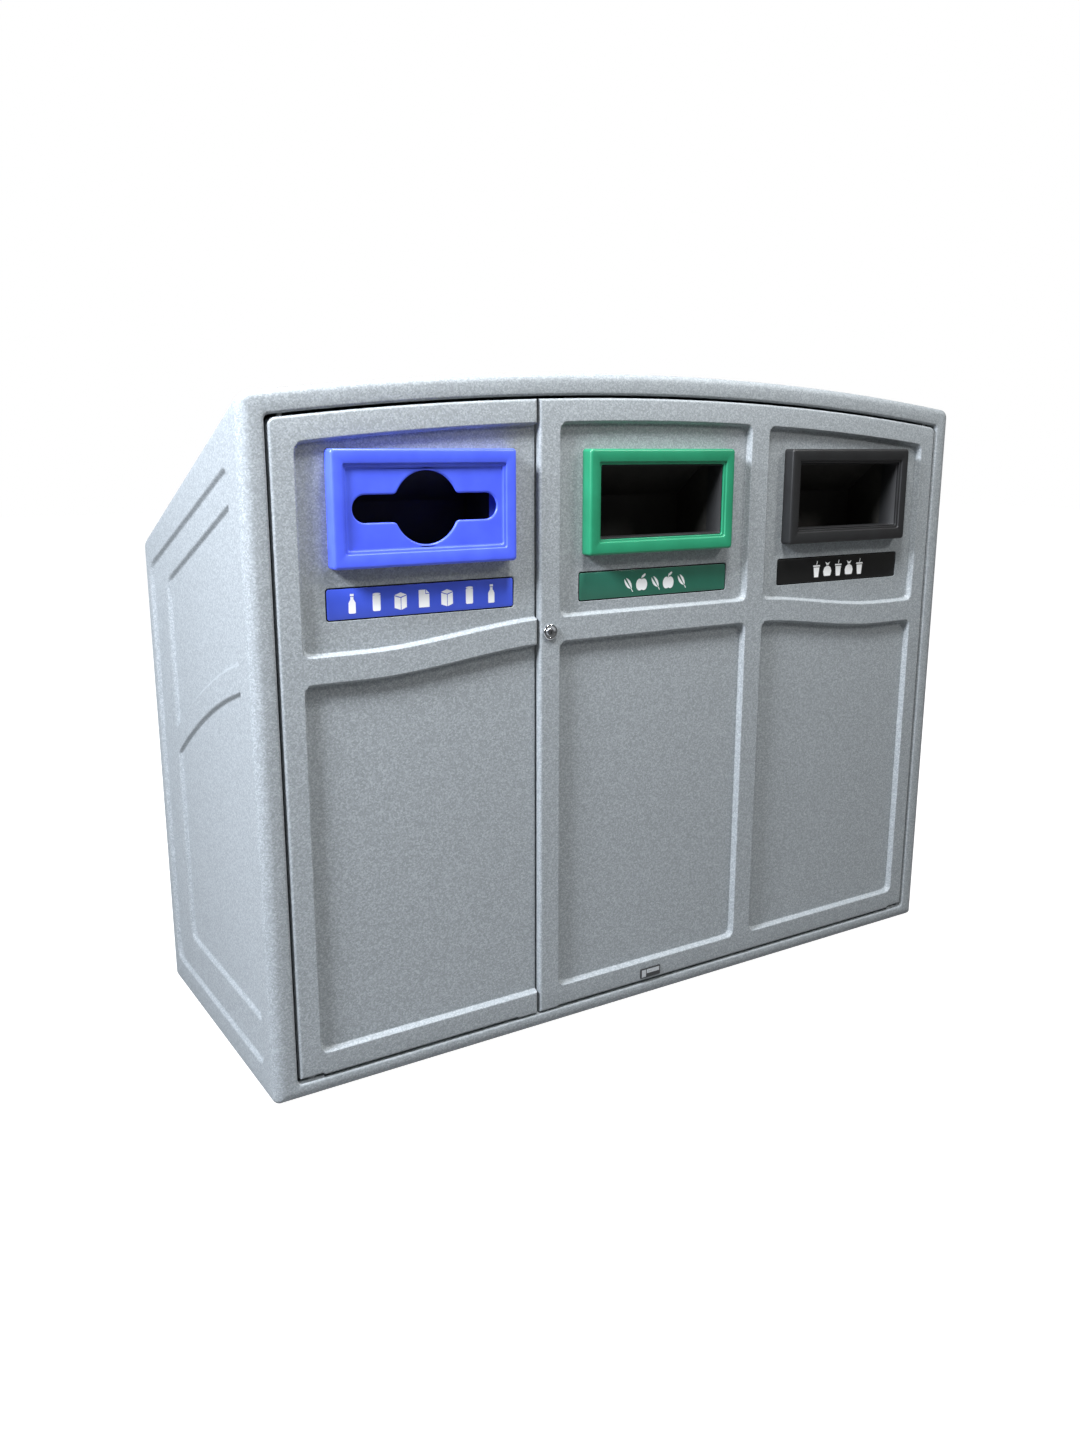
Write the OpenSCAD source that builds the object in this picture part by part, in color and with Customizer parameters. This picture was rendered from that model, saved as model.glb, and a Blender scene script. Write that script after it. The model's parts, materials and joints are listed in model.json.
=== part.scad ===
// Three-bay recycling bin station: a moulded cabinet with an arched, sloping roof, two front
// doors that carry the mouths, three rigid liners, a cam lock with two latch rods and a foot bolt.
// The front faces -Y. The origin is on the floor at the centre of the overall footprint.

/* [Cabinet] */
// Overall width
body_w = 1650; // [1500:10:2000]
// Depth of the cabinet from its front face to its rear face
body_d = 650; // [540:10:800]
// Height of the front face at its crown
body_h = 1275; // [1220:5:1530]
// Height of the rear wall below its crown
rear_h = 1003; // [940:5:1100]
// Rise of the arched roof from the corners to the crown
crown_rise = 51; // [30:1:70]
// Radius of the upright outer corners
corner_r = 22; // [10:1:30]
// Thickness of the side walls
side_wall = 18; // [16:1:24]
// Thickness of the roof
roof_wall = 13; // [8:1:18]
// Thickness of the rear wall
rear_wall = 13; // [8:1:18]
// Thickness of the floor
floor_t = 12; // [8:1:16]
// Height of the ribs that the liners stand on
runner_h = 20; // [10:1:20]
// Width of a floor rib
runner_w = 30; // [20:1:50]

/* [Door frame] */
// Height of the frame above the doors
header_h = 44.5; // [40:0.5:60]
// Height of the sill below the doors
sill_h = 32; // [30:1:45]
// Width of the frame beside the doors
jamb_w = 42.5; // [38:0.5:60]
// Depth of the frame from front to back
frame_depth = 62; // [58:1:80]
// Height of the pads that the lower bushes turn on
pad_h = 4; // [2:0.5:6]
// Length of a pad
pad_w = 50; // [40:1:60]

/* [Side relief] */
// Depth of each of the two steps
side_step = 5; // [2:0.5:5]
// Distance from the front face to the first step
side_front = 52; // [40:1:80]
// Width of the outer band at the rear and the foot
side_band = 47; // [35:1:70]
// Width of the first step
side_shelf = 60; // [40:1:90]
// Height of the arched rib on the side
side_rib_h = 45; // [30:1:60]

/* [Doors] */
// Clearance round each door
door_gap = 5; // [4:0.5:7]
// Thickness of a door
door_t = 32; // [30:1:40]
// Depth of the recessed panels
recess_d = 12; // [6:1:13]
// Thickness left between the front and rear recesses
web_t = 8; // [5:1:10]
// Width of the outer stiles and the top rail
rail_w = 40; // [32:1:50]
// Height of the bottom rail
foot_rail_h = 42; // [36:1:60]
// Width of the stile between the second and third bays
mullion_w = 45; // [36:1:60]
// Width of the lock stile
lock_stile_w = 43; // [38:1:50]
// Position of the split between the doors, from the middle
split_x = -278; // [-290:1:-270]
// Height of the middle rail's upper edge at the middle
mid_top = 826; // [800:1:860]
// Height of the middle rail
mid_rail_h = 44; // [36:1:60]
// Drop of the middle rail from the middle to the ends
mid_drop = 32; // [10:1:40]
// Distance of the hinge pins from the door's outer edge
hinge_in = 24; // [22:1:26]
// Distance of the hinge pins behind the door's front face
hinge_back = 15; // [13:0.5:15]
// Radius of the hinge pins
pin_r = 5; // [4:0.5:6]
// Reach of a hinge pin into the door and into the frame
pin_reach = 24; // [15:1:26]
// Wall of a hinge bush
bush_t = 3; // [2:0.5:4]
// Length of a hinge bush inside the door
bush_len = 30; // [28:1:40]

/* [Mouths] */
// Distance between the bays
bay_pitch = 507; // [495:1:515]
// Width of a surround
surround_w = 349; // [330:1:360]
// Height of a surround
surround_h = 195; // [160:1:200]
// Height of the surrounds' centre
surround_z = 1036; // [1030:1:1040]
// Distance the surrounds stand in front of the rails
surround_proud = 14; // [8:1:18]
// Width of a surround's border
border_w = 26; // [24:1:30]
// Wall of the surrounds
surround_wall = 4; // [3:0.5:5]
// Diameter of the bottle hole
bottle_d = 124; // [100:1:130]
// Width of the slot through the bottle hole
slot_w = 274; // [240:1:280]
// Height of the slot through the bottle hole
slot_h = 46; // [30:1:50]
// Wall of the chutes
chute_wall = 3; // [2:0.5:4]
// Depth of a chute behind the door
chute_depth = 118; // [90:1:140]
// Radius of the mouth screws
screw_r = 2.5; // [2:0.25:2.75]

/* [Labels and nameplate] */
// Width of a label plate
label_w = 360; // [300:1:370]
// Height of a label plate
label_h = 51.5; // [40:0.5:60]
// Height of the labels' centre
label_z = 879; // [870:1:890]
// Thickness of a label plate
label_t = 3; // [2:0.5:4]
// Width of the blank nameplate
nameplate_w = 52; // [40:1:60]
// Height of the blank nameplate
nameplate_h = 21; // [16:1:24]

/* [Lock and bolts] */
// Diameter of the lock's front ring
lock_ring_d = 30; // [26:1:34]
// Radius of the lock's barrel
barrel_r = 9.5; // [9:0.5:11]
// Radius of the turning plug
plug_r = 6; // [5:0.5:7]
// Radius of the circle that the cam's pins move on
cam_pin_orbit = 12; // [11:0.5:13]
// Radius of the latch rods and the foot bolt
rod_r = 4; // [3:0.5:5]
// Clearance between the cam's pins and their slots
slot_gap = 0.8; // [0.6:0.1:1.2]
// Wall of a strike ferrule
ferrule_t = 2.5; // [1.5:0.5:3]

/* [Liners] */
// Width of a liner
liner_w = 440; // [400:5:450]
// Depth of a liner
liner_d = 480; // [380:5:500]
// Height of a liner
liner_h = 740; // [600:5:750]
// Wall of a liner
liner_wall = 4; // [3:0.5:6]
// Width of the rim round a liner's top
liner_rim = 10; // [6:1:12]

/* [Anchors] */
// Distance between the anchor holes across the cabinet
anchor_x = 1532; // [1500:1:1560]
// Distance between the anchor holes from front to back
anchor_y = 400; // [300:5:460]
// Radius of the anchor holes
anchor_r = 6.5; // [5:0.5:8]

/* [Hidden] */

// A cut runs this far past the face it leaves
past = 1;
// Play of a part that is fitted once and stays
snug = 0.05;
// Play of a shaft that turns
running = 0.08;
// Flats of a true circle, and of the wide arches
smooth = 48;
arch_smooth = 256;

front_y = -(body_d - surround_proud) / 2;
rear_y = front_y + body_d;
slope = atan((body_h - rear_h) / body_d);
half_w = body_w / 2;

// The roof and every arch of the front share one centre
arch_r = (half_w * half_w + crown_rise * crown_rise) / (2 * crown_rise);
arch_z = body_h - arch_r;
roof_r = arch_r * cos(slope);
opening_r = arch_r - header_h;
opening_half = half_w - jamb_w;
door_half = opening_half - door_gap;
door_r = opening_r - door_gap;
door_z = sill_h + door_gap;
left_edge = split_x - door_gap / 2;
right_edge = split_x + door_gap / 2;
function arch_height(r, x) = arch_z + sqrt(r * r - x * x);

// The middle rail sweeps down between these distances from the middle
sweep_start = 247;
sweep_end = 627;
function smoothstep(t) = t <= 0 ? 0 : t >= 1 ? 1 : t * t * (3 - 2 * t);
function rail_sweep(x) = mid_drop * smoothstep((abs(x) - sweep_start) / (sweep_end - sweep_start));

hinge_x = door_half - hinge_in;
hinge_y = front_y + hinge_back;
bush_r = pin_r + bush_t;
notch_z = door_z + pad_h;
pin_top = arch_height(opening_r, hinge_x);
door_top = arch_height(door_r, hinge_x);

panel_y = front_y + recess_d;
web_back = panel_y + web_t;
door_back = front_y + door_t;
free_border = 44;

mouth_w = surround_w - 2 * border_w;
mouth_h = surround_h - 2 * border_w - 6;
mouth_clear = 4;
surround_y = front_y - surround_proud;
screw_x = surround_w / 2 - border_w / 2;
screw_z = surround_h / 2 - border_w / 2;
plate_back = 8;

lock_x = right_edge + lock_stile_w / 2;
lock_z = mid_top - 25;
nut_t = 6;
cam_t = 3;
cam_y = door_back + nut_t + 2;
cam_r = cam_pin_orbit + 5;
cam_pin_r = 2.5;
cam_pin_len = 7;
rod_y = cam_y + cam_t + 4;
rod_plate_t = 3.5;
rod_show = 2;
bolt_x = left_edge - 30;
bolt_travel = 22;
sill_pocket = 26;
header_pocket = 16;
upper_rest = arch_height(door_r, lock_x - rod_r) + rod_show;
lower_rest = door_z - rod_show;
ferrule_r = rod_r + 1;
guide_len = 30;
guide_w = 26;

liner_floor = floor_t + runner_h;
liner_y = (front_y + frame_depth + rear_y - rear_wall) / 2;

// ---- shared shapes ----

module rounded_rect(w, d, r) {
    square([w - 2 * r, d], center = true);
    square([w, d - 2 * r], center = true);
    for (x = [-1, 1], y = [-1, 1])
        translate([x * (w / 2 - r), y * (d / 2 - r)]) circle(r = r, $fn = smooth);
}

// Stands a flat outline up in the XZ plane and gives it a thickness, from y0 to y1
module upright(y0, y1) {
    translate([0, y1, 0]) rotate([90, 0, 0]) linear_extrude(y1 - y0) children();
}

// Gives an outline drawn in Y and Z a thickness, from x0 to x1
module sideways(x0, x1) {
    translate([x0, 0, 0]) rotate([90, 0, 90]) linear_extrude(x1 - x0) children();
}

module post(r, x, y, z0, z1) {
    translate([x, y, z0]) cylinder(r = r, h = z1 - z0, $fn = smooth);
}

module dowel(r, x, z, y0, y1) {
    translate([x, y0, z]) rotate([-90, 0, 0]) cylinder(r = r, h = y1 - y0, $fn = smooth);
}

// Everything below the sloping arched roof, lowered by a wall
module under_roof(lower) {
    intersection() {
        children();
        translate([0, front_y, body_h]) rotate([-slope, 0, 0])
            translate([0, -body_d, -roof_r]) rotate([-90, 0, 0])
                cylinder(r = roof_r - lower * cos(slope), h = 3 * body_d, $fn = arch_smooth);
    }
}

// An upright outline under an arch; the circle is turned so that a flat's end is at its peak
module arch_outline(x0, x1, z0, r) {
    peak = x1 < 0 ? x1 : x0 > 0 ? x0 : 0;
    intersection() {
        translate([x0, z0]) square([x1 - x0, body_h - z0]);
        translate([0, arch_z]) rotate(-asin(peak / r)) circle(r = r, $fn = arch_smooth);
    }
}

// ---- cabinet ----

side_rear = rear_y - side_band;
function side_roof(y) = body_h - crown_rise - (y - front_y) * tan(slope);
function side_corners(inset, foot) = [
    [front_y + side_front, side_band + foot],
    [side_rear - inset, side_band + foot],
    [side_rear - inset, side_roof(side_rear - inset) - side_band - inset / 2],
    [front_y + side_front, side_roof(front_y + side_front) - side_band - inset / 2]
];

// The arched rib is a band between two circles that share a centre
rib_mid_y = front_y + 90;
rib_crown_z = 720;
rib_curve = 900;
module side_rib_outline() {
    difference() {
        translate([rib_mid_y, rib_crown_z - rib_curve + side_rib_h])
            circle(r = rib_curve, $fn = arch_smooth);
        translate([rib_mid_y, rib_crown_z - rib_curve]) circle(r = rib_curve, $fn = arch_smooth);
    }
}

module side_relief(side) {
    depth = half_w - side_step;
    low = [side < 0 ? -half_w - past : depth, side < 0 ? -depth : half_w + past];
    sideways(low[0], low[1]) difference() {
        polygon(side_corners(0, 0));
        side_rib_outline();
    }
    deep = half_w - 2 * side_step;
    deeper = [side < 0 ? -half_w - past : deep, side < 0 ? -deep : half_w + past];
    sideways(deeper[0], deeper[1]) difference() {
        polygon(side_corners(side_shelf, side_shelf / 2));
        side_rib_outline();
    }
}

module cabinet_shell() {
    inner_w = body_w - 2 * side_wall;
    inner_y = front_y + frame_depth;
    color("#8a9093") difference() {
        union() {
            difference() {
                under_roof(0) translate([0, (front_y + rear_y) / 2, 0])
                    linear_extrude(body_h + past) rounded_rect(body_w, body_d, corner_r);
                under_roof(roof_wall) translate([-inner_w / 2, inner_y, floor_t])
                    cube([inner_w, rear_y - rear_wall - inner_y, body_h]);
                upright(front_y - past, inner_y + past)
                    arch_outline(-opening_half, opening_half, sill_h, opening_r);
                for (side = [-1, 1]) side_relief(side);
            }
            for (bay = [-1, 0, 1], side = [-1, 1])
                translate([bay * bay_pitch + side * liner_w / 4 - runner_w / 2,
                    inner_y - past, floor_t - past])
                    cube([runner_w, rear_y - rear_wall - inner_y + 2 * past, runner_h + past]);
            for (side = [-1, 1])
                translate([side * (opening_half - pad_w / 2) - pad_w / 2 - past / 2,
                    front_y + 4, sill_h - past])
                    cube([pad_w + past, door_t - 4, pad_h + past]);
        }
        for (side = [-1, 1]) {
            post(pin_r + snug, side * hinge_x, hinge_y, pin_top - past, pin_top + pin_reach);
            post(pin_r + snug, side * hinge_x, hinge_y, sill_h + pad_h - pin_reach, sill_h + pad_h + past);
        }
        post(ferrule_r + ferrule_t + snug, lock_x, rod_y,
            arch_height(opening_r, lock_x) - 3, arch_height(opening_r, lock_x) + header_pocket);
        for (x = [lock_x, bolt_x])
            post(ferrule_r + ferrule_t + snug, x, rod_y, sill_h - sill_pocket, sill_h + past);
        for (x = [-1, 1], y = [-1, 1])
            post(anchor_r, x * anchor_x / 2, y * anchor_y / 2, -past, floor_t + past);
    }
}

module hinge_pins(side) {
    color("#c9ccce") {
        post(pin_r, side * hinge_x, hinge_y, door_top - pin_reach, pin_top + pin_reach);
        post(pin_r, side * hinge_x, hinge_y, sill_h + pad_h - pin_reach, notch_z + pin_reach);
    }
}
module left_hinge_pins() { hinge_pins(-1); }
module right_hinge_pins() { hinge_pins(1); }

module ferrule(x, z0, z1) {
    color("#b8bbbd") difference() {
        post(ferrule_r + ferrule_t, x, rod_y, z0, z1);
        post(ferrule_r, x, rod_y, z0 - past, z1 + past);
    }
}
module upper_strike_ferrule() {
    top = arch_height(opening_r, lock_x);
    ferrule(lock_x, top, top + header_pocket);
}
module lower_strike_ferrule() { ferrule(lock_x, sill_h - sill_pocket, sill_h); }
module bolt_strike_ferrule() { ferrule(bolt_x, sill_h - sill_pocket, sill_h); }

// Rubber blocks under the frame and on the sill stop each closed door flush
stop_w = 30;
stop_d = 16;
stop_h = 16;
stop_gap = 0.3;
module door_stops() {
    color("#2a2a2a") for (x = [split_x - 90, split_x + 90]) {
        top = arch_height(opening_r, abs(x) + stop_w / 2) - stop_gap;
        translate([x - stop_w / 2, door_back + stop_gap, sill_h]) cube([stop_w, stop_d, stop_h]);
        translate([x - stop_w / 2, door_back + stop_gap, top - stop_h]) cube([stop_w, stop_d, stop_h]);
    }
}

module liner(bay) {
    wall = 2 * liner_wall;
    color("#5c6063") translate([bay * bay_pitch, liner_y, liner_floor]) {
        difference() {
            linear_extrude(liner_h) rounded_rect(liner_w - 2 * liner_rim, liner_d - 2 * liner_rim, 30);
            translate([0, 0, liner_wall]) linear_extrude(liner_h)
                rounded_rect(liner_w - 2 * liner_rim - wall, liner_d - 2 * liner_rim - wall,
                    30 - liner_wall);
        }
        translate([0, 0, liner_h - 18]) linear_extrude(18) difference() {
            rounded_rect(liner_w, liner_d, 36);
            rounded_rect(liner_w - 2 * liner_rim - liner_wall, liner_d - 2 * liner_rim - liner_wall, 28);
        }
    }
}
module left_liner() { liner(-1); }
module middle_liner() { liner(0); }
module right_liner() { liner(1); }

// ---- doors ----

// Points along the middle rail's edge, from x0 to x1
rail_steps = 24;
function rail_edge(x0, x1, shift) =
    [for (i = [0 : rail_steps]) let (x = x0 + (x1 - x0) * i / rail_steps)
        [x, mid_top + shift - rail_sweep(x)]];

module upper_panel_outline(x0, x1, inset) {
    intersection() {
        polygon(concat(rail_edge(x0 + inset, x1 - inset, inset),
            [[x1 - inset, body_h], [x0 + inset, body_h]]));
        translate([0, arch_z]) circle(r = door_r - rail_w - inset, $fn = arch_smooth);
    }
}

module lower_panel_outline(x0, x1, inset) {
    foot = door_z + foot_rail_h + inset;
    polygon(concat(rail_edge(x0 + inset, x1 - inset, -mid_rail_h - inset),
        [[x1 - inset, foot], [x0 + inset, foot]]));
}

// A door is cut from its outline: front recesses, rear pockets, mouths, label seats and bush bores
pocket_inset = 6;
module door_blank(x0, x1, panels) {
    difference() {
        upright(front_y, door_back) arch_outline(x0, x1, door_z, door_r);
        for (p = panels) {
            upright(front_y - past, panel_y) {
                upper_panel_outline(p[0], p[1], 0);
                lower_panel_outline(p[0], p[1], 0);
            }
            upright(web_back, door_back + past) {
                upper_panel_outline(p[0], p[2], pocket_inset);
                lower_panel_outline(p[0], p[2], pocket_inset);
            }
        }
    }
}

module mouth_cut(bay) {
    translate([bay * bay_pitch, 0, surround_z]) {
        upright(panel_y - past, web_back + past)
            square([mouth_w + 2 * mouth_clear, mouth_h + 2 * mouth_clear], center = true);
        for (x = [-1, 1], z = [-1, 1])
            dowel(screw_r + 0.5, x * screw_x, z * screw_z, panel_y - past, web_back + past);
    }
    translate([bay * bay_pitch, 0, label_z])
        upright(panel_y - past, panel_y + label_t - 0.5) rounded_rect(label_w + 4, label_h + 4, 6);
}

module hinge_cut(side) {
    x = side * hinge_x;
    post(bush_r + snug, x, hinge_y, door_top - bush_len, body_h);
    post(bush_r + snug, x, hinge_y, door_z - past, notch_z + bush_len);
    translate([side * (door_half - pad_w / 2) - pad_w / 2 - past, front_y - past, door_z - past])
        cube([pad_w + 2 * past, door_t + 2 * past, pad_h + past]);
}

module left_door_panel() {
    color("#8a9093") difference() {
        door_blank(-door_half, left_edge,
            [[-door_half + rail_w, left_edge + past, left_edge - free_border + pocket_inset]]);
        mouth_cut(-1);
        hinge_cut(-1);
    }
}

module right_door_panel() {
    mullion = bay_pitch / 2;
    lock_side = right_edge + lock_stile_w;
    color("#8a9093") difference() {
        door_blank(right_edge, door_half, [
            [lock_side, mullion - mullion_w / 2, mullion - mullion_w / 2],
            [mullion + mullion_w / 2, door_half - rail_w, door_half - rail_w]
        ]);
        mouth_cut(0);
        mouth_cut(1);
        hinge_cut(1);
        dowel(barrel_r + snug, lock_x, lock_z, front_y - past, door_back + past);
    }
}

module door_bushes(side) {
    x = side * hinge_x;
    color("#e4e2dc") {
        difference() {
            post(bush_r, x, hinge_y, door_top - bush_len, door_top - 1);
            post(pin_r + running, x, hinge_y, door_top - bush_len - past, door_top + past);
        }
        difference() {
            union() {
                post(bush_r, x, hinge_y, notch_z - door_gap + stop_gap, notch_z + bush_len);
                post(bush_r + 2, x, hinge_y, notch_z - door_gap + stop_gap, notch_z - snug);
            }
            post(pin_r + running, x, hinge_y, sill_h, notch_z + bush_len + past);
        }
    }
}
module left_door_bushes() { door_bushes(-1); }
module right_door_bushes() { door_bushes(1); }

// ---- mouths ----

module surround_shell() {
    difference() {
        upright(surround_y, panel_y) rounded_rect(surround_w, surround_h, 14);
        upright(surround_y + surround_wall, panel_y + past) difference() {
            rounded_rect(surround_w - 2 * surround_wall, surround_h - 2 * surround_wall, 10);
            square([mouth_w + 2 * surround_wall, mouth_h + 2 * surround_wall], center = true);
            for (x = [-1, 1], z = [-1, 1])
                translate([x * screw_x, z * screw_z]) circle(r = 7, $fn = smooth);
        }
        for (x = [-1, 1], z = [-1, 1])
            dowel(screw_r + snug, x * screw_x, z * screw_z, surround_y + surround_wall + 4, panel_y + past);
    }
}

module open_surround(bay, tint) {
    color(tint) translate([bay * bay_pitch, 0, surround_z]) difference() {
        surround_shell();
        upright(surround_y - past, panel_y + past) rounded_rect(mouth_w, mouth_h, 6);
    }
}

module bottle_mouth() {
    circle(r = bottle_d / 2, $fn = smooth);
    square([slot_w - slot_h, slot_h], center = true);
    for (x = [-1, 1]) translate([x * (slot_w - slot_h) / 2, 0]) circle(r = slot_h / 2, $fn = smooth);
}

module mixed_surround() {
    face = surround_y + plate_back;
    color("#4f6be8") translate([-bay_pitch, 0, surround_z]) difference() {
        surround_shell();
        upright(surround_y - past, face) rounded_rect(mouth_w, mouth_h, 6);
        upright(face + surround_wall, panel_y + past) rounded_rect(mouth_w, mouth_h, 6);
        upright(face - past, face + surround_wall + past) bottle_mouth();
    }
}
module compost_surround() { open_surround(0, "#2e8f6b"); }
module waste_surround() { open_surround(1, "#2b2b2b"); }

// The hood turns what is posted downwards, so its rear falls away and its foot is open
lip = 45;
fall = 62;
drop = 28;
function hood(w, reach) = [
    [web_back + chute_wall, -mouth_h / 2 - w], [panel_y + 0.5, -mouth_h / 2 - w],
    [panel_y + 0.5, mouth_h / 2 + w], [web_back + 35, mouth_h / 2 + w],
    [web_back + reach, mouth_h / 2 + w - fall], [web_back + reach, -mouth_h / 2 - drop - w],
    [web_back + lip - w, -mouth_h / 2 - drop - w]
];
module chute(bay, tint) {
    flange = web_back + chute_wall;
    color(tint) translate([bay * bay_pitch, 0, surround_z]) difference() {
        union() {
            sideways(-mouth_w / 2 - chute_wall, mouth_w / 2 + chute_wall)
                polygon(hood(chute_wall, chute_depth));
            upright(web_back, flange) rounded_rect(surround_w, surround_h, 10);
        }
        sideways(-mouth_w / 2, mouth_w / 2) union() {
            polygon(hood(0, chute_depth - chute_wall));
            translate([panel_y - past, -mouth_h / 2]) square([10, mouth_h]);
            translate([web_back + lip, -mouth_h / 2 - drop - 2 * chute_wall])
                square([chute_depth - chute_wall - lip, mouth_h / 2]);
        }
        for (x = [-1, 1], z = [-1, 1])
            dowel(screw_r + 0.5, x * screw_x, z * screw_z, web_back - past, flange + past);
    }
}
module mixed_chute() { chute(-1, "#2f47c0"); }
module compost_chute() { chute(0, "#1c1c1c"); }
module waste_chute() { chute(1, "#1c1c1c"); }

module mouth_screws(bay) {
    seat = web_back + chute_wall;
    color("#b8bbbd") translate([bay * bay_pitch, 0, surround_z]) for (x = [-1, 1], z = [-1, 1]) {
        dowel(screw_r, x * screw_x, z * screw_z, surround_y + surround_wall + 5, seat);
        dowel(2 * screw_r, x * screw_x, z * screw_z, seat, seat + screw_r);
    }
}
module mixed_mouth_screws() { mouth_screws(-1); }
module compost_mouth_screws() { mouth_screws(0); }
module waste_mouth_screws() { mouth_screws(1); }

module label(bay, tint) {
    color(tint) translate([bay * bay_pitch, 0, label_z])
        upright(panel_y - 0.5, panel_y + label_t - 0.5) rounded_rect(label_w, label_h, 4);
}
module mixed_label() { label(-1, "#3f57d6"); }
module compost_label() { label(0, "#3c7a68"); }
module waste_label() { label(1, "#1d1d1d"); }

module nameplate() {
    color("#6c6f72") translate([0, 0, door_z + foot_rail_h / 2 - 4])
        upright(front_y - 2, front_y) rounded_rect(nameplate_w, nameplate_h, 2);
}

// ---- lock, rods and foot bolt ----

module lock_barrel() {
    color("#d6d8da") difference() {
        union() {
            dowel(barrel_r, lock_x, lock_z, front_y - 4, cam_y - 1);
            dowel(lock_ring_d / 2, lock_x, lock_z, front_y - 4, front_y);
        }
        dowel(plug_r + running, lock_x, lock_z, front_y - 4 - past, cam_y);
    }
}

module lock_nut() {
    color("#b8bbbd") difference() {
        translate([lock_x, door_back, lock_z]) rotate([-90, 0, 0]) cylinder(r = 14, h = nut_t, $fn = 6);
        dowel(barrel_r + snug, lock_x, lock_z, door_back - past, door_back + nut_t + past);
    }
}

module lock_plug() {
    color("#e2e4e6") difference() {
        dowel(plug_r, lock_x, lock_z, front_y - 4.5, cam_y);
        translate([lock_x - 0.75, front_y - 4.5 - past, lock_z - 3]) cube([1.5, 8, 6]);
    }
}

// The cam's two pins lift one rod and lower the other as the plug turns a quarter turn
module lock_cam() {
    color("#9a9da0") {
        difference() {
            dowel(cam_r, lock_x, lock_z, cam_y, cam_y + cam_t);
            dowel(2, lock_x, lock_z, cam_y - past, cam_y + cam_t + past);
        }
        for (side = [-1, 1])
            dowel(cam_pin_r, lock_x + side * cam_pin_orbit * cos(45),
                lock_z - side * cam_pin_orbit * sin(45), cam_y + cam_t, cam_y + cam_t + cam_pin_len);
    }
}
module cam_screw() {
    color("#7b7e80") dowel(3.6, lock_x, lock_z, cam_y + cam_t, cam_y + cam_t + 2);
}

// A flat link with a level slot runs on a cam pin and carries a round rod
module latch_rod(side, tip) {
    start = cam_pin_orbit * cos(45) - cam_pin_r - slot_gap;
    end = cam_pin_orbit + cam_pin_r + slot_gap;
    level = -side * cam_pin_orbit * sin(45);
    leg = 3.2;
    root = side * (cam_r + 6);
    half_slot = cam_pin_r + slot_gap;
    color("#c4c7c9") {
        half_t = rod_plate_t / 2;
        translate([lock_x, 0, lock_z]) upright(rod_y - half_t, rod_y + half_t) difference() {
            union() {
                translate([side > 0 ? start - leg : -end - leg,
                    min(level - side * (half_slot + leg), root)])
                    square([end - start + 2 * leg, abs(root - level) + half_slot + leg]);
                translate([side > 0 ? -rod_r - 1 : -end - leg, side > 0 ? root - 2 : root - 8])
                    square([end + leg + rod_r + 1, 10]);
            }
            translate([side > 0 ? start : -end, level - half_slot]) square([end - start, 2 * half_slot]);
        }
        post(rod_r, lock_x, rod_y, side > 0 ? lock_z + root + 5 : tip, side > 0 ? tip : lock_z + root - 5);
    }
}
module upper_latch_rod() { latch_rod(1, upper_rest); }
module lower_latch_rod() { latch_rod(-1, lower_rest); }

// A block with a bore guides a rod on the back of a door
module guide_block(x, z, length) {
    difference() {
        translate([x - guide_w / 2, door_back, z]) cube([guide_w, rod_y + rod_r + 4 - door_back, length]);
        post(rod_r + running, x, rod_y, z - past, z + length + past);
        for (side = [-1, 1])
            dowel(1.75, x + side * (guide_w / 2 - 3.5), z + length / 2,
                door_back - past, rod_y + 2 * rod_r);
    }
}
upper_guide_z = arch_height(door_r, lock_x) - 70;
lower_guide_z = door_z + 40;
module upper_rod_guide() { color("#2f3133") guide_block(lock_x, upper_guide_z, guide_len); }
module lower_rod_guide() { color("#2f3133") guide_block(lock_x, lower_guide_z, guide_len); }

module guide_screw(x, z) {
    back = rod_y + rod_r + 4;
    dowel(1.7, x, z, door_back, back);
    dowel(3, x, z, back, back + 2);
}
module rod_guide_screws() {
    color("#b8bbbd") for (side = [-1, 1], z = [upper_guide_z, lower_guide_z])
        guide_screw(lock_x + side * (guide_w / 2 - 3.5), z + guide_len / 2);
}

bolt_house_z = door_z + 8;
bolt_house_len = 70;
knob_slot = bolt_travel + 8;
module foot_bolt_housing() {
    color("#2f3133") difference() {
        guide_block(bolt_x, bolt_house_z, bolt_house_len);
        translate([bolt_x - 3.5, rod_y, bolt_house_z + bolt_house_len - 8 - knob_slot])
            cube([7, 20, knob_slot]);
    }
}
module foot_bolt_screws() {
    color("#b8bbbd") for (side = [-1, 1])
        guide_screw(bolt_x + side * (guide_w / 2 - 3.5), bolt_house_z + bolt_house_len / 2);
}
module foot_bolt() {
    knob_z = bolt_house_z + bolt_house_len - 8 - 4;
    color("#c4c7c9") {
        post(rod_r, bolt_x, rod_y, door_z - rod_show, bolt_house_z + bolt_house_len + 12);
        dowel(3, bolt_x, knob_z, rod_y, rod_y + rod_r + 18);
    }
}

cabinet_shell();
left_hinge_pins();
right_hinge_pins();
upper_strike_ferrule();
lower_strike_ferrule();
bolt_strike_ferrule();
door_stops();
left_liner();
middle_liner();
right_liner();
left_door_panel();
left_door_bushes();
mixed_surround();
mixed_chute();
mixed_mouth_screws();
mixed_label();
foot_bolt_housing();
foot_bolt_screws();
foot_bolt();
right_door_panel();
right_door_bushes();
compost_surround();
compost_chute();
compost_mouth_screws();
compost_label();
waste_surround();
waste_chute();
waste_mouth_screws();
waste_label();
nameplate();
lock_barrel();
lock_nut();
lock_plug();
lock_cam();
cam_screw();
upper_latch_rod();
lower_latch_rod();
upper_rod_guide();
lower_rod_guide();
rod_guide_screws();
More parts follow.
